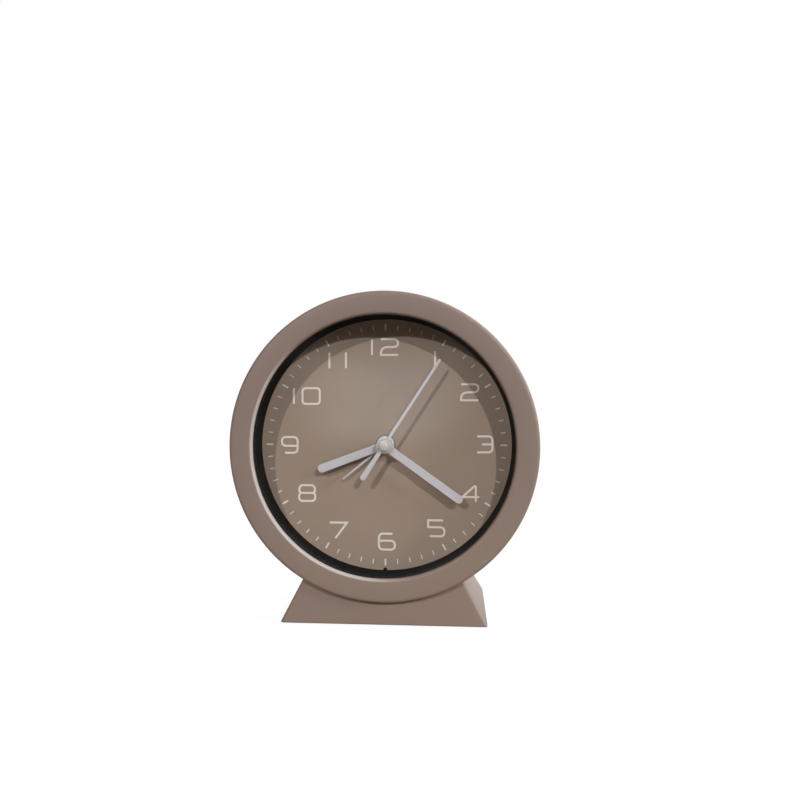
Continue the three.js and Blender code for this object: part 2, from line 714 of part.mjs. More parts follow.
add(head, "rotor", rotor(), IRON);
add(head, "intermediate_wheel", intermediateWheel(), WHEEL_PLASTIC);
add(head, "second_wheel", secondWheel(), WHEEL_PLASTIC);
add(head, "third_wheel", thirdWheel(), WHEEL_PLASTIC);
add(head, "centre_wheel", centreWheel(), BRASS);
add(head, "cannon_pinion", cannonPinion(), BRASS);
add(head, "minute_wheel", minuteWheel(), WHEEL_PLASTIC);
add(head, "hour_wheel", hourWheel(), WHEEL_PLASTIC);
add(head, "alarm_wheel", alarmWheel(), WHEEL_PLASTIC);
add(head, "alarm_pinion", alarmPinion(), WHEEL_PLASTIC);

function pivotHole(radius, z0, z1, spot) {
  return rod(radius + PIVOT_GAP, z0, z1, SMALL_SIDES, ...spot);
}

function throughHole(radius, z0, z1, spot) {
  return pivotHole(radius, z0 - CUT_MARGIN, z1 + CUT_MARGIN, spot);
}

// A tray behind the dial and a flat cover over its train; the battery bay is open at the back
const trayRear = backInner + GAP;
const springSeat = polar(SPRING_ROOT, SPRING_DIRECTION);
const springFront = hourLayer.rear - (LAYER_GAP - SPRING_THICKNESS) / 2;

function movementFrontCase() {
  const outer = roundedRectangle(
    -movementHalfWidth, movementHalfWidth, movementBottom, movementTop, MOVEMENT_CORNER,
  );
  const inner = roundedRectangle(
    -trayInner, trayInner, trayBottom, trayTop, MOVEMENT_CORNER - MOVEMENT_WALL,
  );
  const tray = cut(plate(outer, trayRear, caseFront), plate(inner, trayRear - CUT_MARGIN, caseFloor));
  const partition = box(
    -trayInner - GAP, trayInner + GAP, PARTITION_Y - PARTITION_WALL, PARTITION_Y, trayRear, caseFloor + GAP,
  );
  const bushing = rod(bushingRadius, caseFront - GAP, BUSHING_RISE, MIDDLE_SIDES);
  const springPost = rod(SPRING_POST_RADIUS, springFront + GAP, caseFloor + GAP, SMALL_SIDES, ...springSeat);
  const ears = [-1, 1].map((side) => {
    const near = side * (movementHalfWidth - MOVEMENT_WALL / 2);
    const far = side * (movementHalfWidth + EAR_LENGTH);
    return box(Math.min(near, far), Math.max(near, far), -EAR_WIDTH / 2, EAR_WIDTH / 2, earRear, earFront);
  });
  const earBores = [-earX, earX].map((x) => throughHole(SCREW_SHANK, earRear, earFront, [x, 0]));
  return cut(
    join(tray, partition, bushing, springPost, ...ears),
    rod(bushingBore, caseFloor - CUT_MARGIN, BUSHING_RISE + CUT_MARGIN, MIDDLE_SIDES),
    pivotHole(ARBOR_RADIUS, caseFloor - CUT_MARGIN, pivotFront + GAP, thirdSpot),
    pivotHole(KNOB_ARBOR_RADIUS, caseFloor - CUT_MARGIN, pivotFront + GAP, motionSpot),
    pivotHole(KNOB_ARBOR_RADIUS, caseFloor - CUT_MARGIN, pivotFront + GAP, alarmSpot),
    ...earBores,
  );
}

// Stator loop: two long bands, two cross bands and the pole plate round the rotor
const statorCoreX = COIL_CLEARANCE + COIL_RADIUS - trayInner;
const statorLeft = statorCoreX - STATOR_BAND / 2;
const poleRadius = MAGNET_RADIUS + STATOR_AIR_GAP + STATOR_BAND;
const statorBottom = rotorSpot[1] - poleRadius;
const statorPosts = [
  [statorCoreX, STATOR_TOP - STATOR_BAND / 2],
  [statorCoreX, statorBottom + STATOR_BAND / 2],
];

function movementBackCase() {
  const cover = roundedRectangle(
    -movementHalfWidth, movementHalfWidth, PARTITION_Y - PARTITION_WALL, movementTop, MOVEMENT_CORNER,
  );
  const posts = statorPosts.map((spot) =>
    rod(STATOR_BAND / 2, backInner - GAP, statorLayer.rear - GAP, SMALL_SIDES, ...spot),
  );
  const arborHoles = [[0, 0], thirdSpot, intermediateSpot, rotorSpot].map((spot) =>
    pivotHole(ARBOR_RADIUS, pivotRear - GAP, backInner + CUT_MARGIN, spot),
  );
  const knobHoles = [motionSpot, alarmSpot].map((spot) =>
    throughHole(KNOB_ARBOR_RADIUS, backOuter, backInner, spot),
  );
  return cut(join(plate(cover, backOuter, backInner), ...posts), ...arborHoles, ...knobHoles);
}

// The bridge holds the front ends of the rotor and intermediate arbors, on two posts from the front case
function trainBridge() {
  const stops = [BRIDGE_POSTS[0], rotorSpot, intermediateSpot, BRIDGE_POSTS[1]];
  const links = stops.slice(1).map((stop, i) =>
    strip(stops[i], stop, BRIDGE_HALF_WIDTH, thirdLayer.rear, thirdLayer.front),
  );
  const posts = BRIDGE_POSTS.map((spot) =>
    rod(BRIDGE_POST_RADIUS, thirdLayer.middle, caseFloor - GAP, SMALL_SIDES, ...spot),
  );
  const holes = [rotorSpot, intermediateSpot].map((spot) =>
    throughHole(ARBOR_RADIUS, thirdLayer.rear, thirdLayer.front, spot),
  );
  return cut(join(...links, ...posts), ...holes);
}

function stator() {
  const { front, rear } = statorLayer;
  const [rotorX, rotorY] = rotorSpot;
  const core = box(statorLeft, statorLeft + STATOR_BAND, statorBottom, STATOR_TOP, rear, front);
  const topBand = box(statorLeft, STATOR_STRIP_RIGHT, STATOR_TOP - STATOR_BAND, STATOR_TOP, rear, front);
  const bottomBand = box(statorLeft, rotorX, statorBottom, statorBottom + STATOR_BAND, rear, front);
  const sideBand = box(STATOR_STRIP_RIGHT - STATOR_BAND, STATOR_STRIP_RIGHT, rotorY, STATOR_TOP, rear, front);
  const pole = rod(poleRadius, rear, front, MIDDLE_SIDES, rotorX, rotorY);
  const poleBore = MAGNET_RADIUS + STATOR_AIR_GAP;
  const poleHole = rod(poleBore, rear - CUT_MARGIN, front + CUT_MARGIN, MIDDLE_SIDES, rotorX, rotorY);
  return cut(join(core, topBand, bottomBand, sideBand, pole), poleHole);
}

function coil() {
  const bottom = (statorBottom + STATOR_TOP - COIL_LENGTH) / 2;
  const top = bottom + COIL_LENGTH;
  const winding = post(COIL_RADIUS, bottom, top, MIDDLE_SIDES, statorCoreX, statorLayer.middle);
  const core = box(
    statorLeft - GAP, statorLeft + STATOR_BAND + GAP, bottom - CUT_MARGIN, top + CUT_MARGIN,
    statorLayer.rear - GAP, statorLayer.front + GAP,
  );
  return cut(winding, core);
}

add(head, "movement_front_case", movementFrontCase(), MOVEMENT_GREY);
add(head, "movement_back_case", movementBackCase(), MOVEMENT_GREY);
add(head, "train_bridge", trainBridge(), MOVEMENT_GREY);
add(head, "stator", stator(), IRON);
add(head, "coil", coil(), COPPER);

// Screws through the movement's ears into the dial
[-earX, earX].forEach((x, i) => {
  const length = EAR_THICKNESS + GAP + MOVEMENT_SCREW_BITE;
  const mesh = add(head, `movement_screw_${i + 1}`, screw(length), STEEL);
  mesh.position.set(x, 0, earRear - GAP);
});

// Circuit board, crystal and buzzer lie on the back cover
const boardRear = backInner + GAP;
const boardFront = boardRear + BOARD_THICKNESS;
const boardRight = trayInner - BOARD_MARGIN;
const boardTop = trayTop - BOARD_MARGIN;
const buzzerSpot = [BUZZER_X, trayTop - BUZZER_CLEARANCE - BUZZER_RADIUS];

function alarmContactSpring() {
  const tip = polar(SPRING_TIP, SPRING_DIRECTION);
  return strip(springSeat, tip, SPRING_WIDTH / 2, springFront - SPRING_THICKNESS, springFront);
}

function quartzCrystal() {
  const centreX = boardRight - BOARD_WIDTH / 2;
  const centreY = boardTop - BOARD_HEIGHT / 2;
  const half = CRYSTAL_LENGTH / 2;
  const centreZ = boardFront + GAP + CRYSTAL_RADIUS;
  return bar(CRYSTAL_RADIUS, centreX - half, centreX + half, SMALL_SIDES, centreY, centreZ);
}

function circuitBoard() {
  return box(boardRight - BOARD_WIDTH, boardRight, boardTop - BOARD_HEIGHT, boardTop, boardRear, boardFront);
}

function buzzer() {
  return rod(BUZZER_RADIUS, boardRear, boardRear + BUZZER_THICKNESS, MIDDLE_SIDES, ...buzzerSpot);
}

add(head, "circuit_board", circuitBoard(), BOARD_GREEN);
add(head, "quartz_crystal", quartzCrystal(), STEEL);
add(head, "buzzer", buzzer(), BRASS);
add(head, "alarm_contact_spring", alarmContactSpring(), BRASS);

// Battery across the bay, between two leaf contacts
const batteryZ = caseFloor - BATTERY_FRONT_SPACE - BATTERY_RADIUS;
const contactOuter = trayInner - GAP;
const contactInner = contactOuter - CONTACT_THICKNESS;

function battery() {
  const half = BATTERY_LENGTH / 2;
  const cell = bar(BATTERY_RADIUS, -half, half, MIDDLE_SIDES, batteryY, batteryZ);
  const nub = bar(BATTERY_NUB_RADIUS, half - GAP, half + BATTERY_NUB, SMALL_SIDES, batteryY, batteryZ);
  return join(cell, nub);
}

function contact(side, reach) {
  const half = CONTACT_SIZE / 2;
  const [near, far] = [side * contactInner, side * contactOuter];
  const [tip, root] = [side * reach, side * (contactInner + CONTACT_THICKNESS / 2)];
  const leaf = box(
    Math.min(near, far), Math.max(near, far), batteryY - half, batteryY + half,
    batteryZ - half, batteryZ + half,
  );
  const button = bar(
    BATTERY_NUB_RADIUS, Math.min(tip, root), Math.max(tip, root), SMALL_SIDES, batteryY, batteryZ,
  );
  return join(leaf, button);
}

add(head, "battery", battery(), BATTERY_BLUE);
add(head, "contact_positive", contact(1, BATTERY_LENGTH / 2 + BATTERY_NUB + GAP), STEEL);
add(head, "contact_negative", contact(-1, BATTERY_LENGTH / 2 + GAP), STEEL);

// Rear housing: drum wall and back in one piece, with screw columns, dial rests and the openings of the back
const baseScrewDepths = [-1, 1].map((side) => {
  const middle = (BASE_SETBACK + caseDepth) / 2;
  return middle + (side * BASE_SCREW_SPACING) / 2;
});
const baseScrewTip = axisHeight - drumInner + BASE_SCREW_BITE;
const doorSpan = {
  left: -trayInner + DOOR_MARGIN,
  right: trayInner - DOOR_MARGIN,
  bottom: trayBottom + DOOR_MARGIN,
  top: PARTITION_Y - PARTITION_WALL - DOOR_MARGIN,
};
const slotHalfWidth = SWITCH_TAB_WIDTH / 2 + GAP;
const drumFront = bezelBack - GAP;

// Outer outline of the drum, from the middle of the back round the rear edge to the front rim
function drumOutline() {
  const outline = new THREE.Path();
  outline.moveTo(0, wallOuter);
  outline.lineTo(drumRadius - DRUM_REAR_EDGE, wallOuter);
  outline.quadraticCurveTo(drumRadius, wallOuter, drumRadius, wallOuter + DRUM_REAR_EDGE);
  outline.lineTo(drumRadius, drumFront);
  return outline;
}

function rearHousing() {
  const envelope = drumOutline();
  envelope.lineTo(0, drumFront);
  const outline = drumOutline();
  outline.lineTo(drumInner, drumFront);
  outline.lineTo(drumInner, wallInner + DRUM_REAR_EDGE - CASE_WALL);
  outline.lineTo(drumInner - DRUM_REAR_EDGE + CASE_WALL, wallInner);
  outline.lineTo(0, wallInner);
  const shell = turned(outline.getPoints(CORNER_STEPS), LARGE_SIDES);
  const columns = caseScrewSpots.map(([x, y]) =>
    rod(headBore + SCREW_WALL, wallInner - GAP, columnFront, SMALL_SIDES, x, y),
  );
  const rests = CASE_SCREW_ANGLES.map((angle) => dialRest(angle));
  const bossTop = baseScrewTip + SCREW_WALL - axisHeight;
  const baseBosses = baseScrewDepths.map((depth) =>
    post(screwBoss, -drumInner - GAP, bossTop, SMALL_SIDES, 0, dialSetback - depth),
  );
  const inside = turned(envelope.getPoints(CORNER_STEPS), LARGE_SIDES);
  return cut(join(shell, ...columns, ...rests, ...baseBosses).intersect(inside), ...housingOpenings());
}

// A rib beside each screw column that the edge of the dial rests on
function dialRest(degrees) {
  const geometry = new THREE.BoxGeometry(
    caseScrewRadius - dialRadius + DIAL_REST_OVERLAP, DIAL_REST_WIDTH, columnFront - wallInner + GAP,
  );
  const middleRadius = (caseScrewRadius + dialRadius - DIAL_REST_OVERLAP) / 2;
  geometry.translate(middleRadius, 0, (columnFront + wallInner - GAP) / 2);
  geometry.rotateZ(THREE.MathUtils.degToRad(degrees));
  return solid(geometry);
}

function housingOpenings() {
  const behind = wallOuter - CUT_MARGIN;
  const within = wallInner + CUT_MARGIN;
  const screwHoles = caseScrewSpots.flatMap(([x, y]) => [
    rod(headBore, behind, caseScrewSeat, SMALL_SIDES, x, y),
    rod(screwBore, behind, columnFront + CUT_MARGIN, SMALL_SIDES, x, y),
  ]);
  const baseHoleTop = baseScrewTip + GAP - axisHeight;
  const baseHoles = baseScrewDepths.map((depth) =>
    post(screwBore, -drumRadius - CUT_MARGIN, baseHoleTop, SMALL_SIDES, 0, dialSetback - depth),
  );
  const arborHoles = [motionSpot, alarmSpot].map((spot) =>
    throughHole(KNOB_ARBOR_RADIUS + GAP, wallOuter, wallInner, spot),
  );
  const doorway = roundedRectangle(doorSpan.left, doorSpan.right, doorSpan.bottom, doorSpan.top, DOOR_CORNER);
  const switchSlot = box(
    -slotHalfWidth, slotHalfWidth + SWITCH_TRAVEL, SWITCH_Y - SWITCH_TAB_HEIGHT / 2 - GAP,
    SWITCH_Y + SWITCH_TAB_HEIGHT / 2 + GAP, behind, within,
  );
  const sound = Array.from({ length: SOUND_SLOTS }, (_, i) => {
    const y = buzzerSpot[1] + (i - (SOUND_SLOTS - 1) / 2) * SOUND_SLOT_PITCH;
    const half = SOUND_SLOT_LENGTH / 2;
    const from = [buzzerSpot[0] - half, y];
    const to = [buzzerSpot[0] + half, y];
    return strip(from, to, SOUND_SLOT_WIDTH / 2, behind, within);
  });
  return [...screwHoles, ...baseHoles, ...arborHoles, plate(doorway, behind, within), switchSlot, ...sound];
}

add(head, "rear_housing", rearHousing(), TAUPE);

caseScrewSpots.forEach(([x, y], i) => {
  const mesh = add(head, `housing_screw_${i + 1}`, screw(CASE_SCREW_LENGTH - GAP), STEEL);
  mesh.position.set(x, y, caseScrewSeat - GAP);
});

// Battery door: a flat lid in its opening, with a finger recess at the top edge
function batteryDoor() {
  const lid = roundedRectangle(
    doorSpan.left + GAP, doorSpan.right - GAP, doorSpan.bottom + GAP, doorSpan.top - GAP, DOOR_CORNER - GAP,
  );
  const gripTop = doorSpan.top - GAP - DOOR_GRIP_HEIGHT / 2;
  const half = DOOR_GRIP_WIDTH / 2;
  const grip = box(
    -half, half, gripTop - DOOR_GRIP_HEIGHT, gripTop, wallOuter - CUT_MARGIN, wallOuter + DOOR_GRIP_DEPTH,
  );
  return cut(plate(lid, wallOuter, wallInner), grip);
}

// Setting knobs: fluted caps on the ends of the setting arbors
function knob([x, y]) {
  const front = wallOuter - GAP;
  const outline = new THREE.Shape();
  for (let i = 0; i < KNOB_FLUTES * 2; i += 1) {
    const radius = KNOB_RADIUS - (i % 2) * KNOB_FLUTE_DEPTH;
    const corner = polar(radius, (i * 180) / KNOB_FLUTES, [x, y]);
    if (i === 0) outline.moveTo(...corner);
    else outline.lineTo(...corner);
  }
  const body = plate(outline, knobRear, front);
  const boreRadius = KNOB_ARBOR_RADIUS + PRESS_GAP;
  return cut(body, rod(boreRadius, knobRear + KNOB_FLOOR, front + CUT_MARGIN, SMALL_SIDES, x, y));
}

// Alarm switch: a slider behind the back wall with a tab through its slot
function alarmSwitch() {
  const half = SWITCH_TAB_WIDTH / 2;
  const flange = half + SWITCH_TRAVEL + SWITCH_FLANGE;
  const bottom = SWITCH_Y - SWITCH_TAB_HEIGHT / 2;
  const top = bottom + SWITCH_TAB_HEIGHT;
  const slider = box(
    -flange, flange, bottom - SWITCH_FLANGE, top + SWITCH_FLANGE, wallInner + GAP, backOuter - GAP,
  );
  const tab = box(-half, half, bottom, top, wallOuter - SWITCH_TAB_RISE, wallInner + GAP * 2);
  return join(slider, tab);
}

add(head, "battery_door", batteryDoor(), TAUPE);
add(head, "time_knob", knob(motionSpot), BLACK);
add(head, "alarm_knob", knob(alarmSpot), BLACK);
add(head, "alarm_switch", alarmSwitch(), BLACK);

// Foot, in a frame whose z = 0 is the bezel front and whose y = 0 is the floor
const baseFloor = PAD_RISE;
const baseBackDepth = BASE_SETBACK + BASE_DEPTH;
const saddleRadius = drumRadius + GAP;
const saddleRear = caseDepth + GAP;

function sideInset(inset) {
  return inset * Math.hypot(1, BASE_SIDE_LEAN);
}

function backInset(inset) {
  return inset * Math.hypot(1, BASE_BACK_LEAN);
}

// The foot's block, set in by a wall: leaning sides and leaning back, upright front.
function footBlock(inset, floor, edge) {
  const wedgeDepth = baseBackDepth - backInset(inset);
  const top = baseFloor + (wedgeDepth - saddleRear - inset) / BASE_BACK_LEAN;
  const halfAt = (y) => BASE_HALF_WIDTH - sideInset(inset) - BASE_SIDE_LEAN * (y - baseFloor);
  const face = new THREE.Shape(
    points([[-halfAt(floor), floor], [halfAt(floor), floor], [halfAt(top), top], [-halfAt(top), top]]),
  );
  const prism = new THREE.ExtrudeGeometry(face, {
    depth: baseBackDepth - edge * 2,
    bevelEnabled: edge > 0,
    bevelSize: edge,
    bevelThickness: edge,
    bevelOffset: -edge,
    bevelSegments: CORNER_STEPS / 2,
  });
  prism.translate(0, 0, -BASE_SETBACK - inset - baseBackDepth + edge);
  const backAt = (y) => wedgeDepth - BASE_BACK_LEAN * (y - baseFloor);
  const bottom = floor - CUT_MARGIN;
  const side = new THREE.Shape(points([[0, bottom], [backAt(bottom), bottom], [backAt(top), top], [0, top]]));
  const wedge = new THREE.ExtrudeGeometry(side, { depth: BASE_HALF_WIDTH * 4, bevelEnabled: false });
  wedge.rotateY(Math.PI / 2);
  wedge.translate(-BASE_HALF_WIDTH * 2, 0, 0);
  return solid(prism).intersect(solid(wedge));
}

function saddle(growth) {
  return rod(saddleRadius + growth, -saddleRear - growth, CUT_MARGIN, LARGE_SIDES, 0, axisHeight);
}

const plateTop = baseFloor + PLATE_THICKNESS;
const plateHalfWidth = BASE_HALF_WIDTH - sideInset(BASE_WALL) - BASE_SIDE_LEAN * PLATE_THICKNESS - GAP;
const plateFrontZ = -BASE_SETBACK - BASE_WALL - GAP;
const plateBackZ = -(baseBackDepth - backInset(BASE_WALL) - BASE_BACK_LEAN * PLATE_THICKNESS - GAP);
const plateMiddleZ = (plateFrontZ + plateBackZ) / 2;
const plateScrewSpots = [-PLATE_SCREW_X, PLATE_SCREW_X];
const headSeat = baseFloor + SCREW_HEAD_HEIGHT + GAP;
const plateBossBottom = plateTop + GAP;
const plateScrewTip = plateBossBottom + PLATE_SCREW_BITE;

function baseShell() {
  const shell = cut(
    footBlock(0, baseFloor, BASE_EDGE),
    saddle(0),
    cut(footBlock(BASE_WALL, baseFloor - CUT_MARGIN, 0), saddle(BASE_WALL)),
  );
  const bossTop = axisHeight - Math.sqrt(drumRadius ** 2 - (PLATE_SCREW_X + screwBoss) ** 2);
  const bosses = plateScrewSpots.map((x) =>
    cut(post(screwBoss, plateBossBottom, bossTop, SMALL_SIDES, x, plateMiddleZ), saddle(GAP)),
  );
  const plateBores = plateScrewSpots.map((x) =>
    post(screwBore, plateBossBottom - CUT_MARGIN, plateScrewTip + GAP, SMALL_SIDES, x, plateMiddleZ),
  );
  const roofBores = baseScrewDepths.map((depth) =>
    post(screwBore, plateTop, axisHeight - drumInner, SMALL_SIDES, 0, -depth),
  );
  return cut(join(shell, ...bosses), ...plateBores, ...roofBores);
}

const padSpots = [-1, 1].flatMap((side) => [
  [side * (plateHalfWidth - PAD_INSET), plateFrontZ - PAD_INSET],
  [side * (plateHalfWidth - PAD_INSET), plateBackZ + PAD_INSET],
]);
const padTop = baseFloor + PAD_RECESS;

function basePlate() {
  const floorPlate = box(-plateHalfWidth, plateHalfWidth, baseFloor, plateTop, plateBackZ, plateFrontZ);
  const recesses = padSpots.map(([x, z]) =>
    post(PAD_RADIUS + GAP, baseFloor - CUT_MARGIN, padTop, MIDDLE_SIDES, x, z),
  );
  const screwHoles = plateScrewSpots.flatMap((x) => [
    post(headBore, baseFloor - CUT_MARGIN, headSeat, SMALL_SIDES, x, plateMiddleZ),
    post(screwBore, baseFloor, plateTop + CUT_MARGIN, SMALL_SIDES, x, plateMiddleZ),
  ]);
  return cut(floorPlate, ...recesses, ...screwHoles);
}

add(foot, "base_shell", baseShell(), TAUPE);
add(foot, "base_plate", basePlate(), BLACK);

padSpots.forEach(([x, z], i) => {
  add(foot, `foot_pad_${i + 1}`, post(PAD_RADIUS, 0, padTop - GAP, MIDDLE_SIDES, x, z), RUBBER);
});

// Upright screws: the foot's roof to the drum, and the plate to the foot
function uprightScrew(name, x, seat, z, tip) {
  const mesh = add(foot, name, screw(tip - seat), STEEL);
  mesh.rotation.x = -Math.PI / 2;
  mesh.position.set(x, seat, z);
}

const roofUnderside = axisHeight - saddleRadius - BASE_WALL;
baseScrewDepths.forEach((depth, i) => {
  uprightScrew(`base_screw_${i + 1}`, 0, roofUnderside - GAP, -depth, baseScrewTip);
});
plateScrewSpots.forEach((x, i) => {
  uprightScrew(`plate_screw_${i + 1}`, x, headSeat - GAP, plateMiddleZ, plateScrewTip);
});

export default clock;
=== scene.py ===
import math

import bmesh
import bpy
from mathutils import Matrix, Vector


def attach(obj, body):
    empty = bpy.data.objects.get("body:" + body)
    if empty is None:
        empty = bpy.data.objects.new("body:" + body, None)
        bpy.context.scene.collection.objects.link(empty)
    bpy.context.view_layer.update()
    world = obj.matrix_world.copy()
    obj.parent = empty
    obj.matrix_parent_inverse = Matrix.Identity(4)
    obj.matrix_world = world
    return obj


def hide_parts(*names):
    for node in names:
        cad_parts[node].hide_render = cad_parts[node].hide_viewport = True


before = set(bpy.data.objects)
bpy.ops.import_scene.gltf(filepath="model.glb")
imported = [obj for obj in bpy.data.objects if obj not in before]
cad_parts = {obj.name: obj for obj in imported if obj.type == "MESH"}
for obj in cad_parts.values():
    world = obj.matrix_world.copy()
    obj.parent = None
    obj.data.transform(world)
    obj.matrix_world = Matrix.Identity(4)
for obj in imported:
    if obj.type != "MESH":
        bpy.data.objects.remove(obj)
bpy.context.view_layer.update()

# Sizes in millimetres: x to the right, y to the back, z up; the hands turn about a line along y.
# The bezel's crown, the cap and the second hand's tail are nearer to the photo than the solids.
MM = 0.001
NEAR = 1e-6
AXIS = 86.0
EDGE_BREAK = 0.2

BEZEL_FRONT = -37.5
BEZEL_BACK = -33.5
BEZEL_RADIUS = 74.0
BEZEL_CROWN = 0.12
BEZEL_ROUND = 2.0
LIP_RADIUS = 62.85
LIP_ROUND = 1.2
LIP_BACK = -34.5
SKIRT_RADIUS = 70.9
SKIRT_INNER = 65.9
SKIRT_BACK = -29.5
LENS_RADIUS = 65.6
LENS_FRONT = -34.2
LENS_BACK = -32.2

DIAL_FACE = -20.0
DIAL_BACK = -18.5
DIAL_RADIUS = 64
DIAL_BORE = 4.65
BOSS_SPOTS = (-34, 34)
BOSS_BACK = -13.5
TICK_MIDDLE = 58
STROKE = 0.98
INK_RISE = 0.04
INK_STEP = 0.006

HUB_RADIUS = 3.67
HUB_HALF_DEPTH = 0.6
BLADE_HALF_DEPTH = 0.25
CAP_RADIUS = 2.75
CAP_BACK = -29.7
CAP_SHOULDER = -30.1
CAP_RISE = 1.3

DRUM_RADIUS = 73.4
DRUM_INNER = 71.2
DRUM_FRONT = -33.2
DRUM_ROUND = 4
DRUM_FILLET = 1.8
BACK_INNER = 5.3
BACK_OUTER = 7.5
PAST_BACK = BACK_OUTER + 2
SCREW_CIRCLE = 67.8
COLUMN_RADIUS = 4.55
COLUMN_FRONT = -18.2
SHANK_BORE = 1.55
HEAD_BORE = 3.1
HEAD_SEAT = -9.5
ARBOR_SPOT = 13.2
ARBOR_HOLE = 1.3
SLOT_MIDDLE = 103.3
SLOT_PITCH = 3.4

KNOB_RADIUS = 6
KNOB_FRONT = 7.8
KNOB_BACK = 14.3
KNOB_ROUND = 0.6
KNOB_SOCKET = 1.12
SOCKET_BACK = 12.8
FLUTES = 16
FLUTE_CIRCLE = 6.3
FLUTE_RADIUS = 0.7

FOOT_FRONT = -33.2
FOOT_BACK = 37.5
FOOT_HALF_WIDTH = 50.0
FOOT_FLOOR = 0.6
FOOT_TOP = 45.0
FOOT_SIDE_LEAN = 0.524
FOOT_BACK_LEAN = 0.74
FOOT_WALL = 2.5
FOOT_CORNER = 1.5
FOOT_HEM = 0.8
SADDLE_RADIUS = 73.7
SADDLE_FRONT = -60
SADDLE_BACK = 7.8
SADDLE_ROUND = 4
PLATE_MIDDLE = 1.03
PLATE_SCREWS = (-30, 30)
PAD_SPOTS = [(-37.72, -22.4), (-37.72, 24.46), (37.72, -22.4), (37.72, 24.46)]

# Steps of a full turn in turned pieces
FINE = 224
SMOOTH = 192

# Finishes: the side of the bezel where its lip gets a painted highlight, and the height of a bump in metres
LIP_HIGHLIGHT_SIDE = (-0.906, 0, -0.423)
BUMP_HEIGHT = 0.0001


def at(x, y, z):
    """A place in millimetres, in metres."""
    return (x * MM, y * MM, z * MM)


def linear(red, green, blue):
    """A colour as a screen shows it, 0 to 255, as light values."""
    def light(value):
        value /= 255
        return value / 12.92 if value <= 0.04045 else ((value + 0.055) / 1.055) ** 2.4
    return (light(red), light(green), light(blue), 1.0)


# Material building
def feed(tree, node, inputs):
    """Fills inputs, each with a value or with the socket that it is linked to."""
    for label, value in inputs.items():
        if isinstance(value, bpy.types.NodeSocket):
            tree.links.new(value, node.inputs[label])
        else:
            node.inputs[label].default_value = value


def put(tree, kind, inputs=None, **settings):
    """Adds a node."""
    node = tree.nodes.new(kind)
    for label, value in settings.items():
        setattr(node, label, value)
    feed(tree, node, inputs or {})
    return node


def sums(tree, operation, *values, clamp=False):
    """The result of a sum on values or sockets."""
    return put(
        tree, "ShaderNodeMath", dict(enumerate(values)), operation=operation, use_clamp=clamp,
    ).outputs[0]


def vectors(tree, operation, *values):
    return put(tree, "ShaderNodeVectorMath", dict(enumerate(values)), operation=operation).outputs


def ramp(tree, value, start, end, low=0.0, high=1.0):
    """A soft rise from low at the start to high at the end."""
    return put(tree, "ShaderNodeMapRange", {
        "Value": value, "From Min": start, "From Max": end, "To Min": low, "To Max": high,
    }, interpolation_type="SMOOTHSTEP").outputs[0]


def blend(tree, share, first, second):
    """A mix of two colours."""
    return put(tree, "ShaderNodeMix", {0: share, 6: first, 7: second}, data_type="RGBA").outputs[2]


def object_place(tree):
    return put(tree, "ShaderNodeTexCoord").outputs["Object"]


def start_group(name, inputs, outputs):
    group = bpy.data.node_groups.new(name, "ShaderNodeTree")
    for label, kind, value in inputs:
        group.interface.new_socket(label, in_out="INPUT", socket_type=kind).default_value = value
    for label, kind in outputs:
        group.interface.new_socket(label, in_out="OUTPUT", socket_type=kind)
    return group, put(group, "NodeGroupInput").outputs, put(group, "NodeGroupOutput")


def moulded_grain_group():
    """Cloudy colour, uneven gloss and a fine mould texture."""
    group, given, result = start_group(
        "Moulded grain",
        [
            ("Colour", "NodeSocketColor", (0.5, 0.5, 0.5, 1)),
            ("Grain scale", "NodeSocketFloat", 2500),
            ("Cloud scale", "NodeSocketFloat", 60),
            ("Cloud depth", "NodeSocketFloat", 0.06),
            ("Roughness", "NodeSocketFloat", 0.5),
            ("Gloss spread", "NodeSocketFloat", 0.1),
        ],
        [
            ("Colour", "NodeSocketColor"),
            ("Roughness", "NodeSocketFloat"),
            ("Height", "NodeSocketFloat"),
        ],
    )
    place = object_place(group)
    grain = put(group, "ShaderNodeTexNoise", {
        "Vector": place, "Scale": given["Grain scale"], "Detail": 3.0, "Roughness": 0.6,
    }).outputs["Fac"]
    cloud = put(group, "ShaderNodeTexNoise", {
        "Vector": place, "Scale": given["Cloud scale"], "Detail": 4.0, "Roughness": 0.55,
    }).outputs["Fac"]
    grain_share = 0.25
    mean = 0.5 + 0.5 * grain_share
    both = sums(group, "MULTIPLY_ADD", grain, grain_share, cloud)
    offset = sums(group, "SUBTRACT", both, mean)
    value = sums(group, "MULTIPLY_ADD", offset, given["Cloud depth"], 1.0)
    tinted = put(group, "ShaderNodeHueSaturation", {"Color": given["Colour"], "Value": value})
    gloss = sums(group, "MULTIPLY_ADD", offset, given["Gloss spread"], given["Roughness"], clamp=True)
    feed(group, result, {"Colour": tinted.outputs["Color"], "Roughness": gloss, "Height": grain})
    return group


def rubbed_edge_group():
    """A mask of the corners that hands and cloths rub."""
    group, given, result = start_group(
        "Rubbed edges",
        [("Amount", "NodeSocketFloat", 0.3), ("Patch scale", "NodeSocketFloat", 150)],
        [("Mask", "NodeSocketFloat")],
    )
    sharpness = put(group, "ShaderNodeNewGeometry").outputs["Pointiness"]
    corner = ramp(group, sharpness, 0.52, 0.62)
    patch = put(group, "ShaderNodeTexNoise", {
        "Vector": object_place(group), "Scale": given["Patch scale"], "Detail": 3.0,
    }).outputs["Fac"]
    broken = sums(group, "MULTIPLY", corner, patch)
    feed(group, result, {"Mask": sums(group, "MULTIPLY", broken, given["Amount"], clamp=True)})
    return group


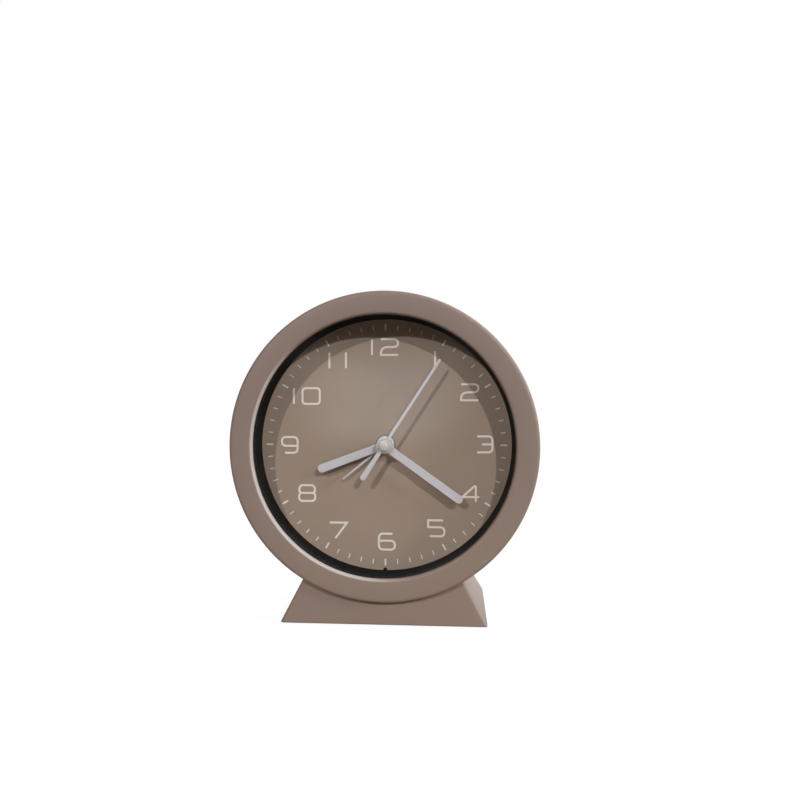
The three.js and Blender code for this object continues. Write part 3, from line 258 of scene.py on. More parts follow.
def lip_highlight_paint_group():
    """A mask for a painted highlight on the rounded inner edge of the bezel, on one side only."""
    group, given, result = start_group(
        "Painted lip highlight",
        [
            ("Lip radius", "NodeSocketFloat", 0.06),
            ("Width", "NodeSocketFloat", 0.001),
            ("Reach", "NodeSocketFloat", 0),
            ("Side", "NodeSocketVector", (-1, 0, 0)),
        ],
        [("Mask", "NodeSocketFloat")],
    )
    place = object_place(group)
    spoke = vectors(group, "SUBTRACT", place, at(0, 0, AXIS))[0]
    flat = vectors(group, "MULTIPLY", spoke, (1, 0, 1))[0]
    radius = vectors(group, "LENGTH", flat)["Value"]
    inside = sums(group, "SUBTRACT", radius, given["Lip radius"])
    edge = ramp(group, sums(group, "DIVIDE", inside, given["Width"]), 1.1, 0.1)
    toward = vectors(group, "NORMALIZE", flat)[0]
    facing = vectors(group, "DOT_PRODUCT", toward, given["Side"])["Value"]
    sector = ramp(group, facing, 0.17, 0.64)
    depth = put(group, "ShaderNodeSeparateXYZ", {"Vector": place}).outputs["Y"]
    front = sums(group, "LESS_THAN", depth, given["Reach"])
    rim = sums(group, "MULTIPLY", edge, front)
    feed(group, result, {"Mask": sums(group, "MULTIPLY", rim, sector)})
    return group


def drawn_lines_group():
    """Fine lines along one direction, as rolling, turning or brushing leaves."""
    group, given, result = start_group(
        "Drawn lines",
        [("Stretch", "NodeSocketVector", (1, 1, 1)), ("Line scale", "NodeSocketFloat", 900)],
        [("Height", "NodeSocketFloat")],
    )
    drawn = vectors(group, "MULTIPLY", object_place(group), given["Stretch"])[0]
    lines = put(group, "ShaderNodeTexNoise", {
        "Vector": drawn, "Scale": given["Line scale"], "Detail": 2.0, "Roughness": 0.7,
    })
    feed(group, result, {"Height": lines.outputs["Fac"]})
    return group


moulded_grain = moulded_grain_group()
rubbed_edges = rubbed_edge_group()
lip_highlight_paint = lip_highlight_paint_group()
drawn_lines = drawn_lines_group()


def start_material(name):
    material = bpy.data.materials.new(name)
    material.use_nodes = True
    material.node_tree.nodes.clear()
    tree = material.node_tree
    output = put(tree, "ShaderNodeOutputMaterial")
    shader = put(tree, "ShaderNodeBsdfPrincipled")
    feed(tree, output, {"Surface": shader.outputs["BSDF"]})
    return material, tree, shader


def bumped(tree, height, strength):
    return put(tree, "ShaderNodeBump", {
        "Height": height, "Strength": strength, "Distance": BUMP_HEIGHT,
    }).outputs["Normal"]


def moulded(
    name, colour, roughness, grain=2500, bump=0.12, cloud=60, depth=0.06, rub=0.25, specular=0.5, lip=None,
):
    """Moulded plastic, lacquer or rubber with its grain, clouding and rubbed corners; given a lip colour, it
    paints a highlight on the bezel's lip.
    """
    material, tree, shader = start_material(name)
    skin = put(tree, "ShaderNodeGroup", {
        "Colour": colour, "Grain scale": grain, "Cloud scale": cloud, "Cloud depth": depth,
        "Roughness": roughness,
    }, node_tree=moulded_grain).outputs
    worn = put(tree, "ShaderNodeGroup", {"Amount": rub}, node_tree=rubbed_edges)
    paler = [min(1.0, value * 1.5 + 0.03) for value in colour[:3]] + [1.0]
    tint = blend(tree, worn.outputs["Mask"], skin["Colour"], paler)
    # Painted highlight: the lip colour lightens the bezel's inner edge on one side, standing in for a lamp's
    # glint there.
    if lip:
        edge = put(tree, "ShaderNodeGroup", {
            "Lip radius": LIP_RADIUS * MM, "Width": LIP_ROUND * MM,
            "Reach": (LIP_BACK - 0.1) * MM, "Side": LIP_HIGHLIGHT_SIDE,
        }, node_tree=lip_highlight_paint)
        tint = blend(tree, edge.outputs["Mask"], tint, lip)
    feed(tree, shader, {
        "Base Color": tint, "Roughness": skin["Roughness"],
        "Normal": bumped(tree, skin["Height"], bump), "Specular IOR Level": specular,
    })
    return material


def drawn_metal(name, colour, roughness, stretch):
    """Bare metal with drawn lines and a little tarnish."""
    material, tree, shader = start_material(name)
    skin = put(tree, "ShaderNodeGroup", {
        "Colour": colour, "Cloud scale": 220, "Cloud depth": 0.25, "Roughness": roughness,
    }, node_tree=moulded_grain).outputs
    lines = put(tree, "ShaderNodeGroup", {"Stretch": stretch}, node_tree=drawn_lines)
    feed(tree, shader, {
        "Base Color": skin["Colour"], "Roughness": skin["Roughness"],
        "Normal": bumped(tree, lines.outputs["Height"], 0.15), "Metallic": 1.0,
    })
    return material


def clear_lens():
    """Clear sheet that lets the light of the lamps and the room through to the dial."""
    material, tree, shader = start_material("clear_lens")
    feed(tree, shader, {
        "Base Color": (0.98, 0.985, 0.985, 1), "Roughness": 0.0, "IOR": 1.46, "Transmission Weight": 1.0,
    })
    ray = put(tree, "ShaderNodeLightPath").outputs
    through = put(tree, "ShaderNodeBsdfTransparent").outputs["BSDF"]
    lamplit = put(tree, "ShaderNodeMixShader", {
        0: ray["Is Shadow Ray"], 1: shader.outputs["BSDF"], 2: through,
    })
    roomlit = put(tree, "ShaderNodeMixShader", {
        0: ray["Is Diffuse Ray"], 1: lamplit.outputs[0], 2: through,
    })
    feed(tree, tree.nodes["Material Output"], {"Surface": roomlit.outputs[0]})
    return material


def banded(name, colour, second, roughness, axis, scale, metallic):
    """Two colours in fine bands along one axis, as wound wire or printed tracks show."""
    material, tree, shader = start_material(name)
    bands = put(tree, "ShaderNodeTexWave", {
        "Vector": object_place(tree), "Scale": scale,
        "Distortion": 0.6, "Detail": 2.0, "Detail Scale": 2.0,
    }, bands_direction=axis).outputs["Fac"]
    feed(tree, shader, {
        "Base Color": blend(tree, bands, colour, second), "Normal": bumped(tree, bands, 0.3),
        "Roughness": roughness, "Metallic": metallic,
    })
    return material


TAUPE = linear(122, 106, 97)
CASE_SKIN = {"roughness": 0.5, "grain": 3200, "bump": 0.1, "depth": 0.05, "specular": 0.4}
case_taupe = moulded("case_taupe", TAUPE, **CASE_SKIN)
# The lip colour here is a painted highlight on the bezel's inner edge.
bezel_taupe = moulded("bezel_taupe", TAUPE, **CASE_SKIN, lip=linear(180, 173, 168))
dial_taupe = moulded(
    "dial_taupe", linear(138, 122, 108), 0.78,
    grain=1800, bump=0.06, cloud=45, depth=0.09, rub=0, specular=0.25,
)
ring_black = moulded(
    "ring_black", linear(5, 4, 4), 0.6, grain=2600, bump=0.06, depth=0.15, rub=0.02, specular=0.1,
)
control_black = moulded(
    "control_black", linear(36, 34, 33), 0.5, grain=2200, bump=0.15, depth=0.15, rub=0.2,
)
hand_lacquer = moulded(
    "hand_lacquer", linear(176, 174, 178), 0.42, grain=3000, bump=0.04, cloud=200, depth=0.04, rub=0.1,
)
numeral_ink = moulded(
    "numeral_ink", linear(202, 195, 186), 0.7,
    grain=4000, bump=0.05, cloud=400, depth=0.08, rub=0, specular=0.25,
)
cap_cream = moulded(
    "cap_cream", linear(172, 170, 164), 0.35, grain=2500, bump=0.03, cloud=300, depth=0.05, rub=0,
)
pad_rubber = moulded(
    "pad_rubber", linear(44, 42, 40), 0.85, grain=1500, bump=0.3, depth=0.2, rub=0.3, specular=0.2,
)
plate_black = moulded(
    "plate_black", linear(46, 43, 41), 0.6, grain=1500, bump=0.25, depth=0.12, rub=0.2,
)
movement_pale = moulded("movement_pale", linear(206, 204, 198), 0.5, grain=1800, depth=0.08)
wheel_acetal = moulded(
    "wheel_acetal", linear(222, 214, 192), 0.4, grain=2500, bump=0.04, depth=0.05, rub=0.1,
)
rotor_magnet = moulded("rotor_magnet", linear(70, 68, 66), 0.5, grain=2500, bump=0.2, depth=0.2)
battery_sleeve = moulded(
    "battery_sleeve", linear(58, 70, 84), 0.32, grain=3000, bump=0.02, cloud=80, depth=0.06, rub=0,
)
screw_zinc = drawn_metal("screw_zinc", linear(190, 192, 194), 0.32, (1, 0.2, 1))
leaf_steel = drawn_metal("leaf_steel", linear(196, 196, 194), 0.3, (1, 1, 0.1))
wheel_brass = drawn_metal("wheel_brass", linear(205, 172, 104), 0.3, (1, 0.1, 1))
stator_iron = drawn_metal("stator_iron", linear(150, 152, 155), 0.42, (0.15, 1, 1))
coil_copper = banded("coil_copper", linear(196, 112, 66), linear(120, 58, 30), 0.35, "Z", 1100, 0.9)
board_green = banded("board_green", linear(44, 104, 66), linear(58, 128, 80), 0.45, "X", 160, 0.0)
lens_clear = clear_lens()


# Modelling moves
def clear_selection():
    if bpy.context.mode != "OBJECT":
        bpy.ops.object.mode_set(mode="OBJECT")
    bpy.ops.object.select_all(action="DESELECT")


def take(piece):
    """Makes the piece the only one selected."""
    clear_selection()
    bpy.context.view_layer.objects.active = piece
    piece.select_set(True)


def edit(piece):
    take(piece)
    bpy.ops.object.mode_set(mode="EDIT")


def named(name):
    piece = bpy.context.active_object
    piece.name = name
    piece.data.name = name
    return piece


def pick(kind, test):
    """Selects the points or edges that pass the test."""
    bpy.ops.mesh.select_mode(type=kind)
    bpy.ops.mesh.select_all(action="DESELECT")
    mesh = bmesh.from_edit_mesh(bpy.context.edit_object.data)
    for part in {"VERT": mesh.verts, "EDGE": mesh.edges}[kind]:
        if test(part):
            part.select_set(True)
    bmesh.update_edit_mesh(bpy.context.edit_object.data)


def along(axis):
    """Test for edges that run along one axis."""
    def test(edge):
        step = edge.verts[1].co - edge.verts[0].co
        return abs(step[axis]) > 0.99 * step.length
    return test


def close_up(piece, angle=35):
    """Merges doubles, turns the faces outwards and smooths the shading."""
    edit(piece)
    bpy.ops.mesh.select_all(action="SELECT")
    bpy.ops.mesh.remove_doubles(threshold=NEAR)
    bpy.ops.mesh.normals_make_consistent(inside=False)
    bpy.ops.object.mode_set(mode="OBJECT")
    bpy.ops.object.shade_smooth_by_angle(angle=math.radians(angle))
    return piece


def apply_modifier(piece, kind, **settings):
    take(piece)
    modifier = piece.modifiers.new(kind.lower(), kind)
    for label, value in settings.items():
        setattr(modifier, label, value)
    bpy.ops.object.modifier_apply(modifier=modifier.name)


def soften(piece, width, segments=2, angle=40):
    """Rounds every corner sharper than the angle."""
    apply_modifier(
        piece, "BEVEL", width=width * MM, segments=segments,
        limit_method="ANGLE", angle_limit=math.radians(angle),
    )
    return close_up(piece)


def even_faces(piece):
    """Makes one face of the fans that a turned outline leaves on its flat sides."""
    edit(piece)
    bpy.ops.mesh.select_all(action="SELECT")
    bpy.ops.mesh.dissolve_limited(angle_limit=math.radians(0.5))
    bpy.ops.object.mode_set(mode="OBJECT")
    return piece


def combine(piece, operation, others):
    for other in others:
        apply_modifier(piece, "BOOLEAN", operation=operation, object=other, solver="EXACT")
        bpy.data.objects.remove(other)
    return close_up(piece)


def joined(name, pieces):
    """Several shapes as one piece."""
    take(pieces[0])
    for piece in pieces[1:]:
        piece.select_set(True)
    bpy.ops.object.join()
    return named(name)


def welded(name, pieces):
    """Shapes that reach into each other, as one closed piece."""
    combine(pieces[0], "UNION", pieces[1:])
    take(pieces[0])
    return named(name)


def copied(piece, name):
    take(piece)
    bpy.ops.object.duplicate(linked=False)
    return named(name)


def moved(piece, shift, turn=(0, 0, 0)):
    take(piece)
    piece.rotation_euler = turn
    piece.location = at(*shift)
    bpy.ops.object.transform_apply()
    return piece


def block(name, low, high, corner=0, axis=1, segments=6):
    """A cuboid between two corners, its edges along one axis rounded."""
    clear_selection()
    middle = [(a + b) / 2 for a, b in zip(low, high)]
    bpy.ops.mesh.primitive_cube_add(size=MM, location=at(*middle))
    piece = named(name)
    piece.scale = [b - a for a, b in zip(low, high)]
    bpy.ops.object.transform_apply()
    if corner:
        edit(piece)
        pick("EDGE", along(axis))
        bpy.ops.mesh.bevel(offset=corner * MM, segments=segments)
    return close_up(piece)


def arc(radius, depth, size, start, end, steps=8):
    """Points of a rounded corner in a turned outline, in degrees from outwards to the back."""
    turns = [math.radians(start + (end - start) * i / steps) for i in range(steps + 1)]
    return [(radius + size * math.cos(turn), depth + size * math.sin(turn)) for turn in turns]


def path(points):
    """A chain of points drawn from a single one."""
    clear_selection()
    bpy.ops.mesh.primitive_plane_add(size=MM)
    bpy.ops.object.mode_set(mode="EDIT")
    bpy.ops.mesh.select_mode(type="VERT")
    bpy.ops.mesh.select_all(action="SELECT")
    bpy.ops.mesh.merge(type="CENTER")
    bpy.ops.transform.translate(value=at(*points[0]))
    for before, after in zip(points, points[1:]):
        step = [b - a for a, b in zip(before, after)]
        bpy.ops.mesh.extrude_vertices_move(TRANSFORM_OT_translate={"value": at(*step)})


def turned(name, outline, steps, x=0, z=AXIS):
    """An outline of radius and depth, spun about an axis that runs from front to back."""
    path([(x + radius, depth, z) for radius, depth in outline])
    bpy.ops.mesh.select_all(action="SELECT")
    bpy.ops.mesh.spin(steps=steps, angle=math.tau, center=at(x, 0, z), axis=(0, 1, 0))
    return close_up(named(name))


def rod(name, radius, front, back, x, z, steps=48):
    return turned(name, [(0, front), (radius, front), (radius, back), (0, back)], steps, x, z)


def fit(piece, body, slot, finish, *nodes):
    """Gives a piece its finish, its body and the solids that it stands for."""
    piece.data.materials.clear()
    piece.data.materials.append(finish)
    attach(piece, body)
    if nodes:
        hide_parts(*nodes)


# Bezel: slightly crowned ring, a small round at the lip and a larger one outside
def front_bezel():
    crown_edge = BEZEL_FRONT + BEZEL_CROWN
    inner, outer = LIP_RADIUS + LIP_ROUND, BEZEL_RADIUS - BEZEL_ROUND
    middle, half = (inner + outer) / 2, (outer - inner) / 2
    crown_steps = 12
    outline = [(LIP_RADIUS, LIP_BACK)]
    outline += arc(inner, crown_edge + LIP_ROUND, LIP_ROUND, 180, 270)
    for i in range(1, crown_steps):
        radius = inner + (outer - inner) * i / crown_steps
        outline.append((radius, crown_edge - BEZEL_CROWN * (1 - ((radius - middle) / half) ** 2)))
    outline += arc(outer, crown_edge + BEZEL_ROUND, BEZEL_ROUND, -90, 0, 10)
    outline += [(BEZEL_RADIUS, BEZEL_BACK - EDGE_BREAK), (BEZEL_RADIUS - EDGE_BREAK, BEZEL_BACK)]
    outline += [(SKIRT_RADIUS, BEZEL_BACK), (SKIRT_RADIUS, SKIRT_BACK), (SKIRT_INNER, SKIRT_BACK)]
    outline += [(SKIRT_INNER, LIP_BACK), (LIP_RADIUS, LIP_BACK)]
    return turned("bezel", outline, FINE)


def lens_disc():
    flat = LENS_RADIUS - EDGE_BREAK
    outline = [(0, LENS_FRONT), (flat, LENS_FRONT), (LENS_RADIUS, LENS_FRONT + EDGE_BREAK)]
    outline += [(LENS_RADIUS, LENS_BACK - EDGE_BREAK), (flat, LENS_BACK), (0, LENS_BACK)]
    return turned("lens_disc", outline, SMOOTH)


RING_OUTLINE = [
    (61.9, -20.3), (63.1, -20.3), (64.4, -30.4), (65.6, -30.4), (65.6, -31.9),
    (63.45, -31.9), (63.2, -31.7), (62.0, -20.5), (61.9, -20.3),
]


def inner_ring():
    """Tapered black ring between lens and dial, with its rib at the bottom."""
    ring = turned("ring", RING_OUTLINE, FINE)
    rib = rod("rib", radius=0.85, front=-22.8, back=-20.3, x=0, z=AXIS - 61.25)
    soften(rib, 0.35, 3)
    return welded("inner_ring", [ring, rib])


def dial_disc():
    bore_break = 0.1
    bore_edge = (DIAL_BORE, DIAL_FACE + bore_break)
    outline = [bore_edge, (DIAL_BORE + bore_break, DIAL_FACE), (DIAL_RADIUS, DIAL_FACE)]
    outline += [(DIAL_RADIUS, DIAL_BACK), (DIAL_BORE, DIAL_BACK), bore_edge]
    disc = turned("disc", outline, SMOOTH)
    bosses = [rod("boss", 3, DIAL_BACK - 0.2, BOSS_BACK, x, AXIS, 32) for x in BOSS_SPOTS]
    return welded("dial_disc", [even_faces(disc), *bosses])


# Dial marks: strokes that stand a hair above the face
def stroke(points, rise, ring=False):
    """One stroke; each point is across, up and the radius of its corner."""
    corners = [(x, DIAL_FACE, AXIS + z) for x, z, _ in points]
    path(corners + corners[:1] if ring else corners)
    bpy.ops.mesh.select_all(action="SELECT")
    bpy.ops.mesh.remove_doubles(threshold=NEAR)
    for (x, y, z), (_, _, radius) in zip(corners, points):
        if radius:
            spot = Vector(at(x, y, z))
            pick("VERT", lambda v: (v.co - spot).length < 10 * NEAR)
            bpy.ops.mesh.bevel(offset=radius * MM, segments=7, affect="VERTICES")
    bpy.ops.mesh.select_all(action="SELECT")
    bpy.ops.mesh.extrude_region_move(TRANSFORM_OT_translate={"value": at(0, -rise, 0)})
    bpy.ops.mesh.select_all(action="SELECT")
    bpy.ops.mesh.normals_make_consistent(inside=False)
    piece = named("stroke")
    clear_selection()
    apply_modifier(piece, "SOLIDIFY", thickness=STROKE * MM, offset=0, use_even_offset=True)
    return close_up(piece, 30)


DIGIT_HALF_HEIGHT = 3.92
DIGIT_HALF_WIDTHS = {
    "1": 0, "2": 4.2, "3": 3.7, "4": 4.1, "5": 4.0, "6": 3.95, "7": 4.3, "8": 4.05, "9": 3.95, "0": 4.35,
}
DIGIT_SPOTS = [
    ("1", -6.7, 48.3), ("2", 2.0, 48.3), ("1", 24.5, 42.3), ("2", 41.5, 25.9), ("3", 48.8, 0.4),
    ("4", 42.0, -23.8), ("5", 25.1, -41.0), ("6", 0.7, -47.9), ("7", -23.5, -42.7), ("8", -39.2, -24.3),
    ("9", -48.0, -0.3), ("1", -45.9, 24.1), ("0", -37.2, 24.1), ("1", -28.0, 41.8), ("1", -19.7, 41.8),
]


def digit_strokes(digit):
    """Strokes of a digit about its middle, 2a wide and 2b high, each with the way it closes."""
    a = DIGIT_HALF_WIDTHS[digit]
    b = DIGIT_HALF_HEIGHT
    return {
        "1": [([(0, b, 0), (0, -b, 0)], False)],
        "2": [([(-a, b, 0), (a, b, 2), (a, 0.1, 1.8), (-a, -0.2, 2.6), (-a, -b, 0), (a, -b, 0)], False)],
        "3": [
            ([(-a, b, 0), (a, b, 1.9), (a, -b, 1.9), (-a, -b, 0)], False),
            ([(-0.35 * a, 0, 0), (a, 0, 0)], False),
        ],
        "4": [
            ([(0.5 * a, b, 0), (-a, -0.42 * b, 0), (a, -0.42 * b, 0)], False),
            ([(0.6 * a, b, 0), (0.6 * a, -b, 0)], False),
        ],
        "5": [(
            [(0.85 * a, b, 0), (-a, b, 0), (-a, 0.5, 0), (a, 0.5, 1.9), (a, -b, 1.9), (-0.8 * a, -b, 0)],
            False,
        )],
        "6": [(
            [(0.7 * a, b, 0), (-a, b, 2), (-a, -b, 2), (a, -b, 1.9), (a, 0.45, 1.9), (-a, 0.45, 0)],
            False,
        )],
        "7": [([(-a, b, 0), (a, b, 0), (-0.35 * a, -b, 0)], False)],
        "8": [
            ([(-0.97 * a, b, 1.8), (0.97 * a, b, 1.8), (0.97 * a, 0.1, 1.4), (-0.97 * a, 0.1, 1.4)], True),
            ([(-a, 0.1, 1.4), (a, 0.1, 1.4), (a, -b, 1.8), (-a, -b, 1.8)], True),
        ],
        "9": [(
            [(-0.6 * a, -b, 0), (a, -b, 2), (a, b, 2), (-a, b, 1.9), (-a, -0.45, 1.9), (a, -0.45, 0)],
            False,
        )],
        "0": [([(-a, b, 1.6), (a, b, 1.6), (a, -b, 1.6), (-a, -b, 1.6)], True)],
    }[digit]


def hour_numerals():
    """All digits; a digit's second stroke stands higher, so that no two faces share a plane."""
    strokes = []
    for digit, x, z in DIGIT_SPOTS:
        for i, (points, ring) in enumerate(digit_strokes(digit)):
            shifted = [(x + across, z + up, radius) for across, up, radius in points]
            strokes.append(stroke(shifted, INK_RISE + INK_STEP * i, ring))
    return joined("hour_numerals", strokes)


def tick_circle(name, half_width, half_length, rise, count):
    """One tick at twelve, copied round the dial."""
    middle = AXIS + TICK_MIDDLE
    low = (-half_width, DIAL_FACE - rise, middle - half_length)
    high = (half_width, DIAL_FACE, middle + half_length)
    piece = block(name, low, high, corner=half_width * 0.5, segments=2)
    edit(piece)
    bpy.ops.mesh.select_all(action="SELECT")
    bpy.ops.mesh.spin(
        steps=count - 1, dupli=True, angle=math.tau * (count - 1) / count,
        center=at(0, 0, AXIS), axis=(0, 1, 0),
    )
    return close_up(piece)


# Hands: flat blades with rounded ends, each on a turned hub
def hand(name, degrees, depth, length, root, tip, bore, tail=None):
    back, front = depth + BLADE_HALF_DEPTH, depth - BLADE_HALF_DEPTH
    hub_back, hub_front = depth + HUB_HALF_DEPTH, depth - HUB_HALF_DEPTH
    start = bore + 0.1
    outline = [(bore, hub_front), (HUB_RADIUS - EDGE_BREAK, hub_front), (HUB_RADIUS, hub_front + EDGE_BREAK)]
    outline += [(HUB_RADIUS, hub_back), (bore, hub_back), (bore, hub_front)]
    shapes = [even_faces(turned("hub", outline, 64)), blade(start, length, root, tip, front, back)]
    if tail:
        shapes.append(moved(blade(start, *tail, front, back), (0, 0, 2 * AXIS), (0, math.pi, 0)))
    return swung(welded(name, shapes), degrees)


def blade(start, length, root, tip, front, back):
    piece = block("blade", (-root / 2, front, AXIS + start), (root / 2, back, AXIS + length))
    edit(piece)
    pick("VERT", lambda v: v.co.z > (AXIS + length / 2) * MM)
    bpy.ops.transform.resize(value=(tip / root, 1, 1))
    runs_back = along(1)
    pick("EDGE", lambda e: runs_back(e) and e.verts[0].co.z > (AXIS + length / 2) * MM)
    bpy.ops.mesh.bevel(offset=tip * 0.49 * MM, segments=9)
    bpy.ops.object.mode_set(mode="OBJECT")
    return soften(piece, 0.1, 2, 60)


def swung(piece, degrees):
    """Turns a shape about the hand axis, clockwise as the dial is read."""
    turn = math.radians(degrees)
    shift = (-AXIS * math.sin(turn), 0, AXIS - AXIS * math.cos(turn))
    return moved(piece, shift, (0, turn, 0))


def hand_cap():
    outline = [(0, CAP_BACK), (CAP_RADIUS - 0.1, CAP_BACK), (CAP_RADIUS, CAP_BACK - 0.1)]
    for degrees in range(0, 91, 9):
        turn = math.radians(degrees)
        outline.append((CAP_RADIUS * math.cos(turn), CAP_SHOULDER - CAP_RISE * math.sin(turn)))
    return turned("centre_cap", outline, 64)


# Drum behind the bezel: one shell with its screw columns and the openings of its back
def screw_spots():
    turns = [math.radians(angle) for angle in (45, 135, 225, 315)]
    return [(SCREW_CIRCLE * math.cos(turn), AXIS + SCREW_CIRCLE * math.sin(turn)) for turn in turns]


def drum_shell():
    outline = [(0, BACK_OUTER)]
    outline += arc(DRUM_RADIUS - DRUM_ROUND, BACK_OUTER - DRUM_ROUND, DRUM_ROUND, 90, 0, 10)
    outline += [(DRUM_RADIUS, DRUM_FRONT), (DRUM_INNER, DRUM_FRONT)]
    outline += [(DRUM_INNER, BACK_INNER - DRUM_FILLET), (DRUM_INNER - DRUM_FILLET, BACK_INNER)]
    outline += [(0, BACK_INNER)]
    shell = even_faces(turned("drum_shell", outline, FINE))
    columns = []
    for x, z in screw_spots():
        columns.append(even_faces(rod("column", COLUMN_RADIUS, COLUMN_FRONT, BACK_INNER + 0.2, x, z)))
    combine(shell, "UNION", columns)
    bore = [(0, -20), (SHANK_BORE, -20), (SHANK_BORE, HEAD_SEAT)]
    bore += [(HEAD_BORE, HEAD_SEAT), (HEAD_BORE, PAST_BACK), (0, PAST_BACK)]
    openings = [even_faces(turned("screw_bore", bore, 44, x, z)) for x, z in screw_spots()]
    for x in (-ARBOR_SPOT, ARBOR_SPOT):
        openings.append(rod("arbor_hole", ARBOR_HOLE, BACK_INNER - 2, PAST_BACK, x, AXIS))
    openings.append(block("doorway", (-27.4, 4, 54.1), (27.4, 9, 67.0), 2))
    openings.append(block("switch_slot", (-2.3, 4, 104.45), (7.3, 9, 109.55), 0.5))
    for i in range(-2, 3):
        z = SLOT_MIDDLE + i * SLOT_PITCH
        openings.append(block("sound_slot", (-22.3, 4, z - 0.8), (-9.7, 9, z + 0.8), 0.79))
    return combine(shell, "DIFFERENCE", openings)


def battery_lid():
    lid = block("battery_lid", (-27.1, BACK_INNER, 54.4), (27.1, BACK_OUTER, 66.7), 1.7)
    recess = block("finger_recess", (-7, BACK_OUTER - 0.8, 62.2), (7, BACK_OUTER + 1, 65.2), 0.6)
    combine(lid, "DIFFERENCE", [recess])
    soften(lid, 0.2, 2, 50)
    ribs = []
    for z in (62.9, 63.7, 64.5):
        ribs.append(block("grip_rib", (-6, 6.5, z - 0.25), (6, 7.3, z + 0.25), 0.2, 0, 2))
    return welded("battery_lid", [lid, *ribs])


def setting_knob(name, x):
    """Fluted knob: grooves cut round a turned cap."""
    outline = [(0, KNOB_BACK), (4.6, KNOB_BACK)]
    outline += arc(KNOB_RADIUS - KNOB_ROUND, KNOB_BACK - KNOB_ROUND, KNOB_ROUND, 90, 0, 4)
    outline += [(KNOB_RADIUS, KNOB_FRONT + 0.3), (KNOB_RADIUS - 0.3, KNOB_FRONT), (KNOB_SOCKET, KNOB_FRONT)]
    outline += [(KNOB_SOCKET, SOCKET_BACK), (0, SOCKET_BACK)]
    knob = turned(name, outline, 96, x, AXIS)
    flutes = []
    for i in range(FLUTES):
        turn = math.tau * i / FLUTES
        across, up = x + FLUTE_CIRCLE * math.cos(turn), AXIS + FLUTE_CIRCLE * math.sin(turn)
        flutes.append(rod("flute", FLUTE_RADIUS, 6, 16, across, up, 16))
    return combine(knob, "DIFFERENCE", flutes)


def switch_tab():
    tab = block("tab", (-2, 4.7, 104.75), (2, 9.5, 109.25), 0.4)
    grooves = [block("groove", (x - 0.25, 9.1, 104), (x + 0.25, 10, 110)) for x in (-1, 0, 1)]
    combine(tab, "DIFFERENCE", grooves)
    soften(tab, 0.12, 2, 50)
    slider = soften(block("slider", (-8.5, 2.6, 103.25), (8.5, 5.0, 110.75)), 0.2)
    return welded("switch_tab", [tab, slider])


def cross_screw(name, length):
    """Pan head facing back, shank towards the front, with its bearing face at depth zero."""
    head, shank, rise, corner = 2.6, 1.3, 1.4, 0.5
    outline = [(0, rise)] + arc(head - corner, rise - corner, corner, 90, 0, 4)
    outline += [(head, 0), (shank, 0), (shank, shank - length), (0, -length)]
    screw = turned(name, outline, 40, 0, 0)
    cross = [
        block("slot", (-1.8, 0.6, -0.35), (1.8, 2, 0.35)),
        block("slot", (-0.35, 0.6, -1.8), (0.35, 2, 1.8)),
    ]
    return combine(screw, "DIFFERENCE", cross)


# Foot: a leaning block with a saddle for the drum, closed below by a plate on four pads
def foot_block(name, inset, floor):
    side = FOOT_HALF_WIDTH - inset * math.hypot(1, FOOT_SIDE_LEAN)
    back = FOOT_BACK - inset * math.hypot(1, FOOT_BACK_LEAN)
    low_side = side - FOOT_SIDE_LEAN * (floor - FOOT_FLOOR)
    low_back = back - FOOT_BACK_LEAN * (floor - FOOT_FLOOR)
    piece = block(name, (-low_side, FOOT_FRONT + inset, floor), (low_side, low_back, FOOT_TOP))
    rise = FOOT_TOP - floor
    half_way = FOOT_TOP / 2 * MM
    edit(piece)
    pick("VERT", lambda v: v.co.z > half_way)
    bpy.ops.transform.resize(value=(1 - FOOT_SIDE_LEAN * rise / low_side, 1, 1))
    pick("VERT", lambda v: v.co.z > half_way and v.co.y > 0)
    bpy.ops.transform.translate(value=at(0, -FOOT_BACK_LEAN * rise, 0))
    return close_up(piece)


def foot_shell():
    shell = foot_block("foot_shell", 0, FOOT_FLOOR)
    edit(shell)
    pick("EDGE", lambda e: abs(e.verts[0].co.z - e.verts[1].co.z) > 10 * MM)
    bpy.ops.mesh.bevel(offset=FOOT_CORNER * MM, segments=5)
    pick("EDGE", lambda e: max(v.co.z for v in e.verts) < 1 * MM)
    bpy.ops.mesh.bevel(offset=FOOT_HEM * MM, segments=4)
    close_up(shell)
    seat = [(0, SADDLE_FRONT), (SADDLE_RADIUS, SADDLE_FRONT)]
    seat += arc(SADDLE_RADIUS - SADDLE_ROUND, SADDLE_BACK - SADDLE_ROUND, SADDLE_ROUND, 0, 90)
    seat += [(0, SADDLE_BACK)]
    combine(shell, "DIFFERENCE", [even_faces(turned("saddle", seat, FINE))])
    soften(shell, 0.35, 2, 50)
    hollow = foot_block("hollow", FOOT_WALL, -1)
    grown = rod(
        "grown_saddle", SADDLE_RADIUS + FOOT_WALL, SADDLE_FRONT, SADDLE_BACK + FOOT_WALL, 0, AXIS, 160,
    )
    combine(hollow, "DIFFERENCE", [grown])
    return combine(shell, "DIFFERENCE", [hollow])


def upright(piece, x, y, z):
    """Stands a rod upright and brings it to a place."""
    return moved(piece, (x, y, z), (math.pi / 2, 0, 0))


def floor_plate():
    plate = block("floor_plate", (-45.72, -30.4, FOOT_FLOOR), (45.72, 32.46, 2.8), 1.5, 2)
    holes = [upright(rod("pad_recess", 5.3, -0.7, 0.7, 0, 0), x, y, FOOT_FLOOR) for x, y in PAD_SPOTS]
    for x in PLATE_SCREWS:
        holes.append(upright(rod("head_bore", HEAD_BORE, -1.7, 1.7, 0, 0), x, PLATE_MIDDLE, FOOT_FLOOR))
        holes.append(upright(rod("shank_bore", SHANK_BORE, -4, 4, 0, 0), x, PLATE_MIDDLE, FOOT_FLOOR))
    combine(plate, "DIFFERENCE", holes)
    return soften(plate, 0.2, 2, 50)


def foot_pad(name):
    pad = rod(name, 5, 0, 1, 0, 0, 56)
    soften(pad, 0.25, 3)
    return upright(pad, 0, 0, 0)


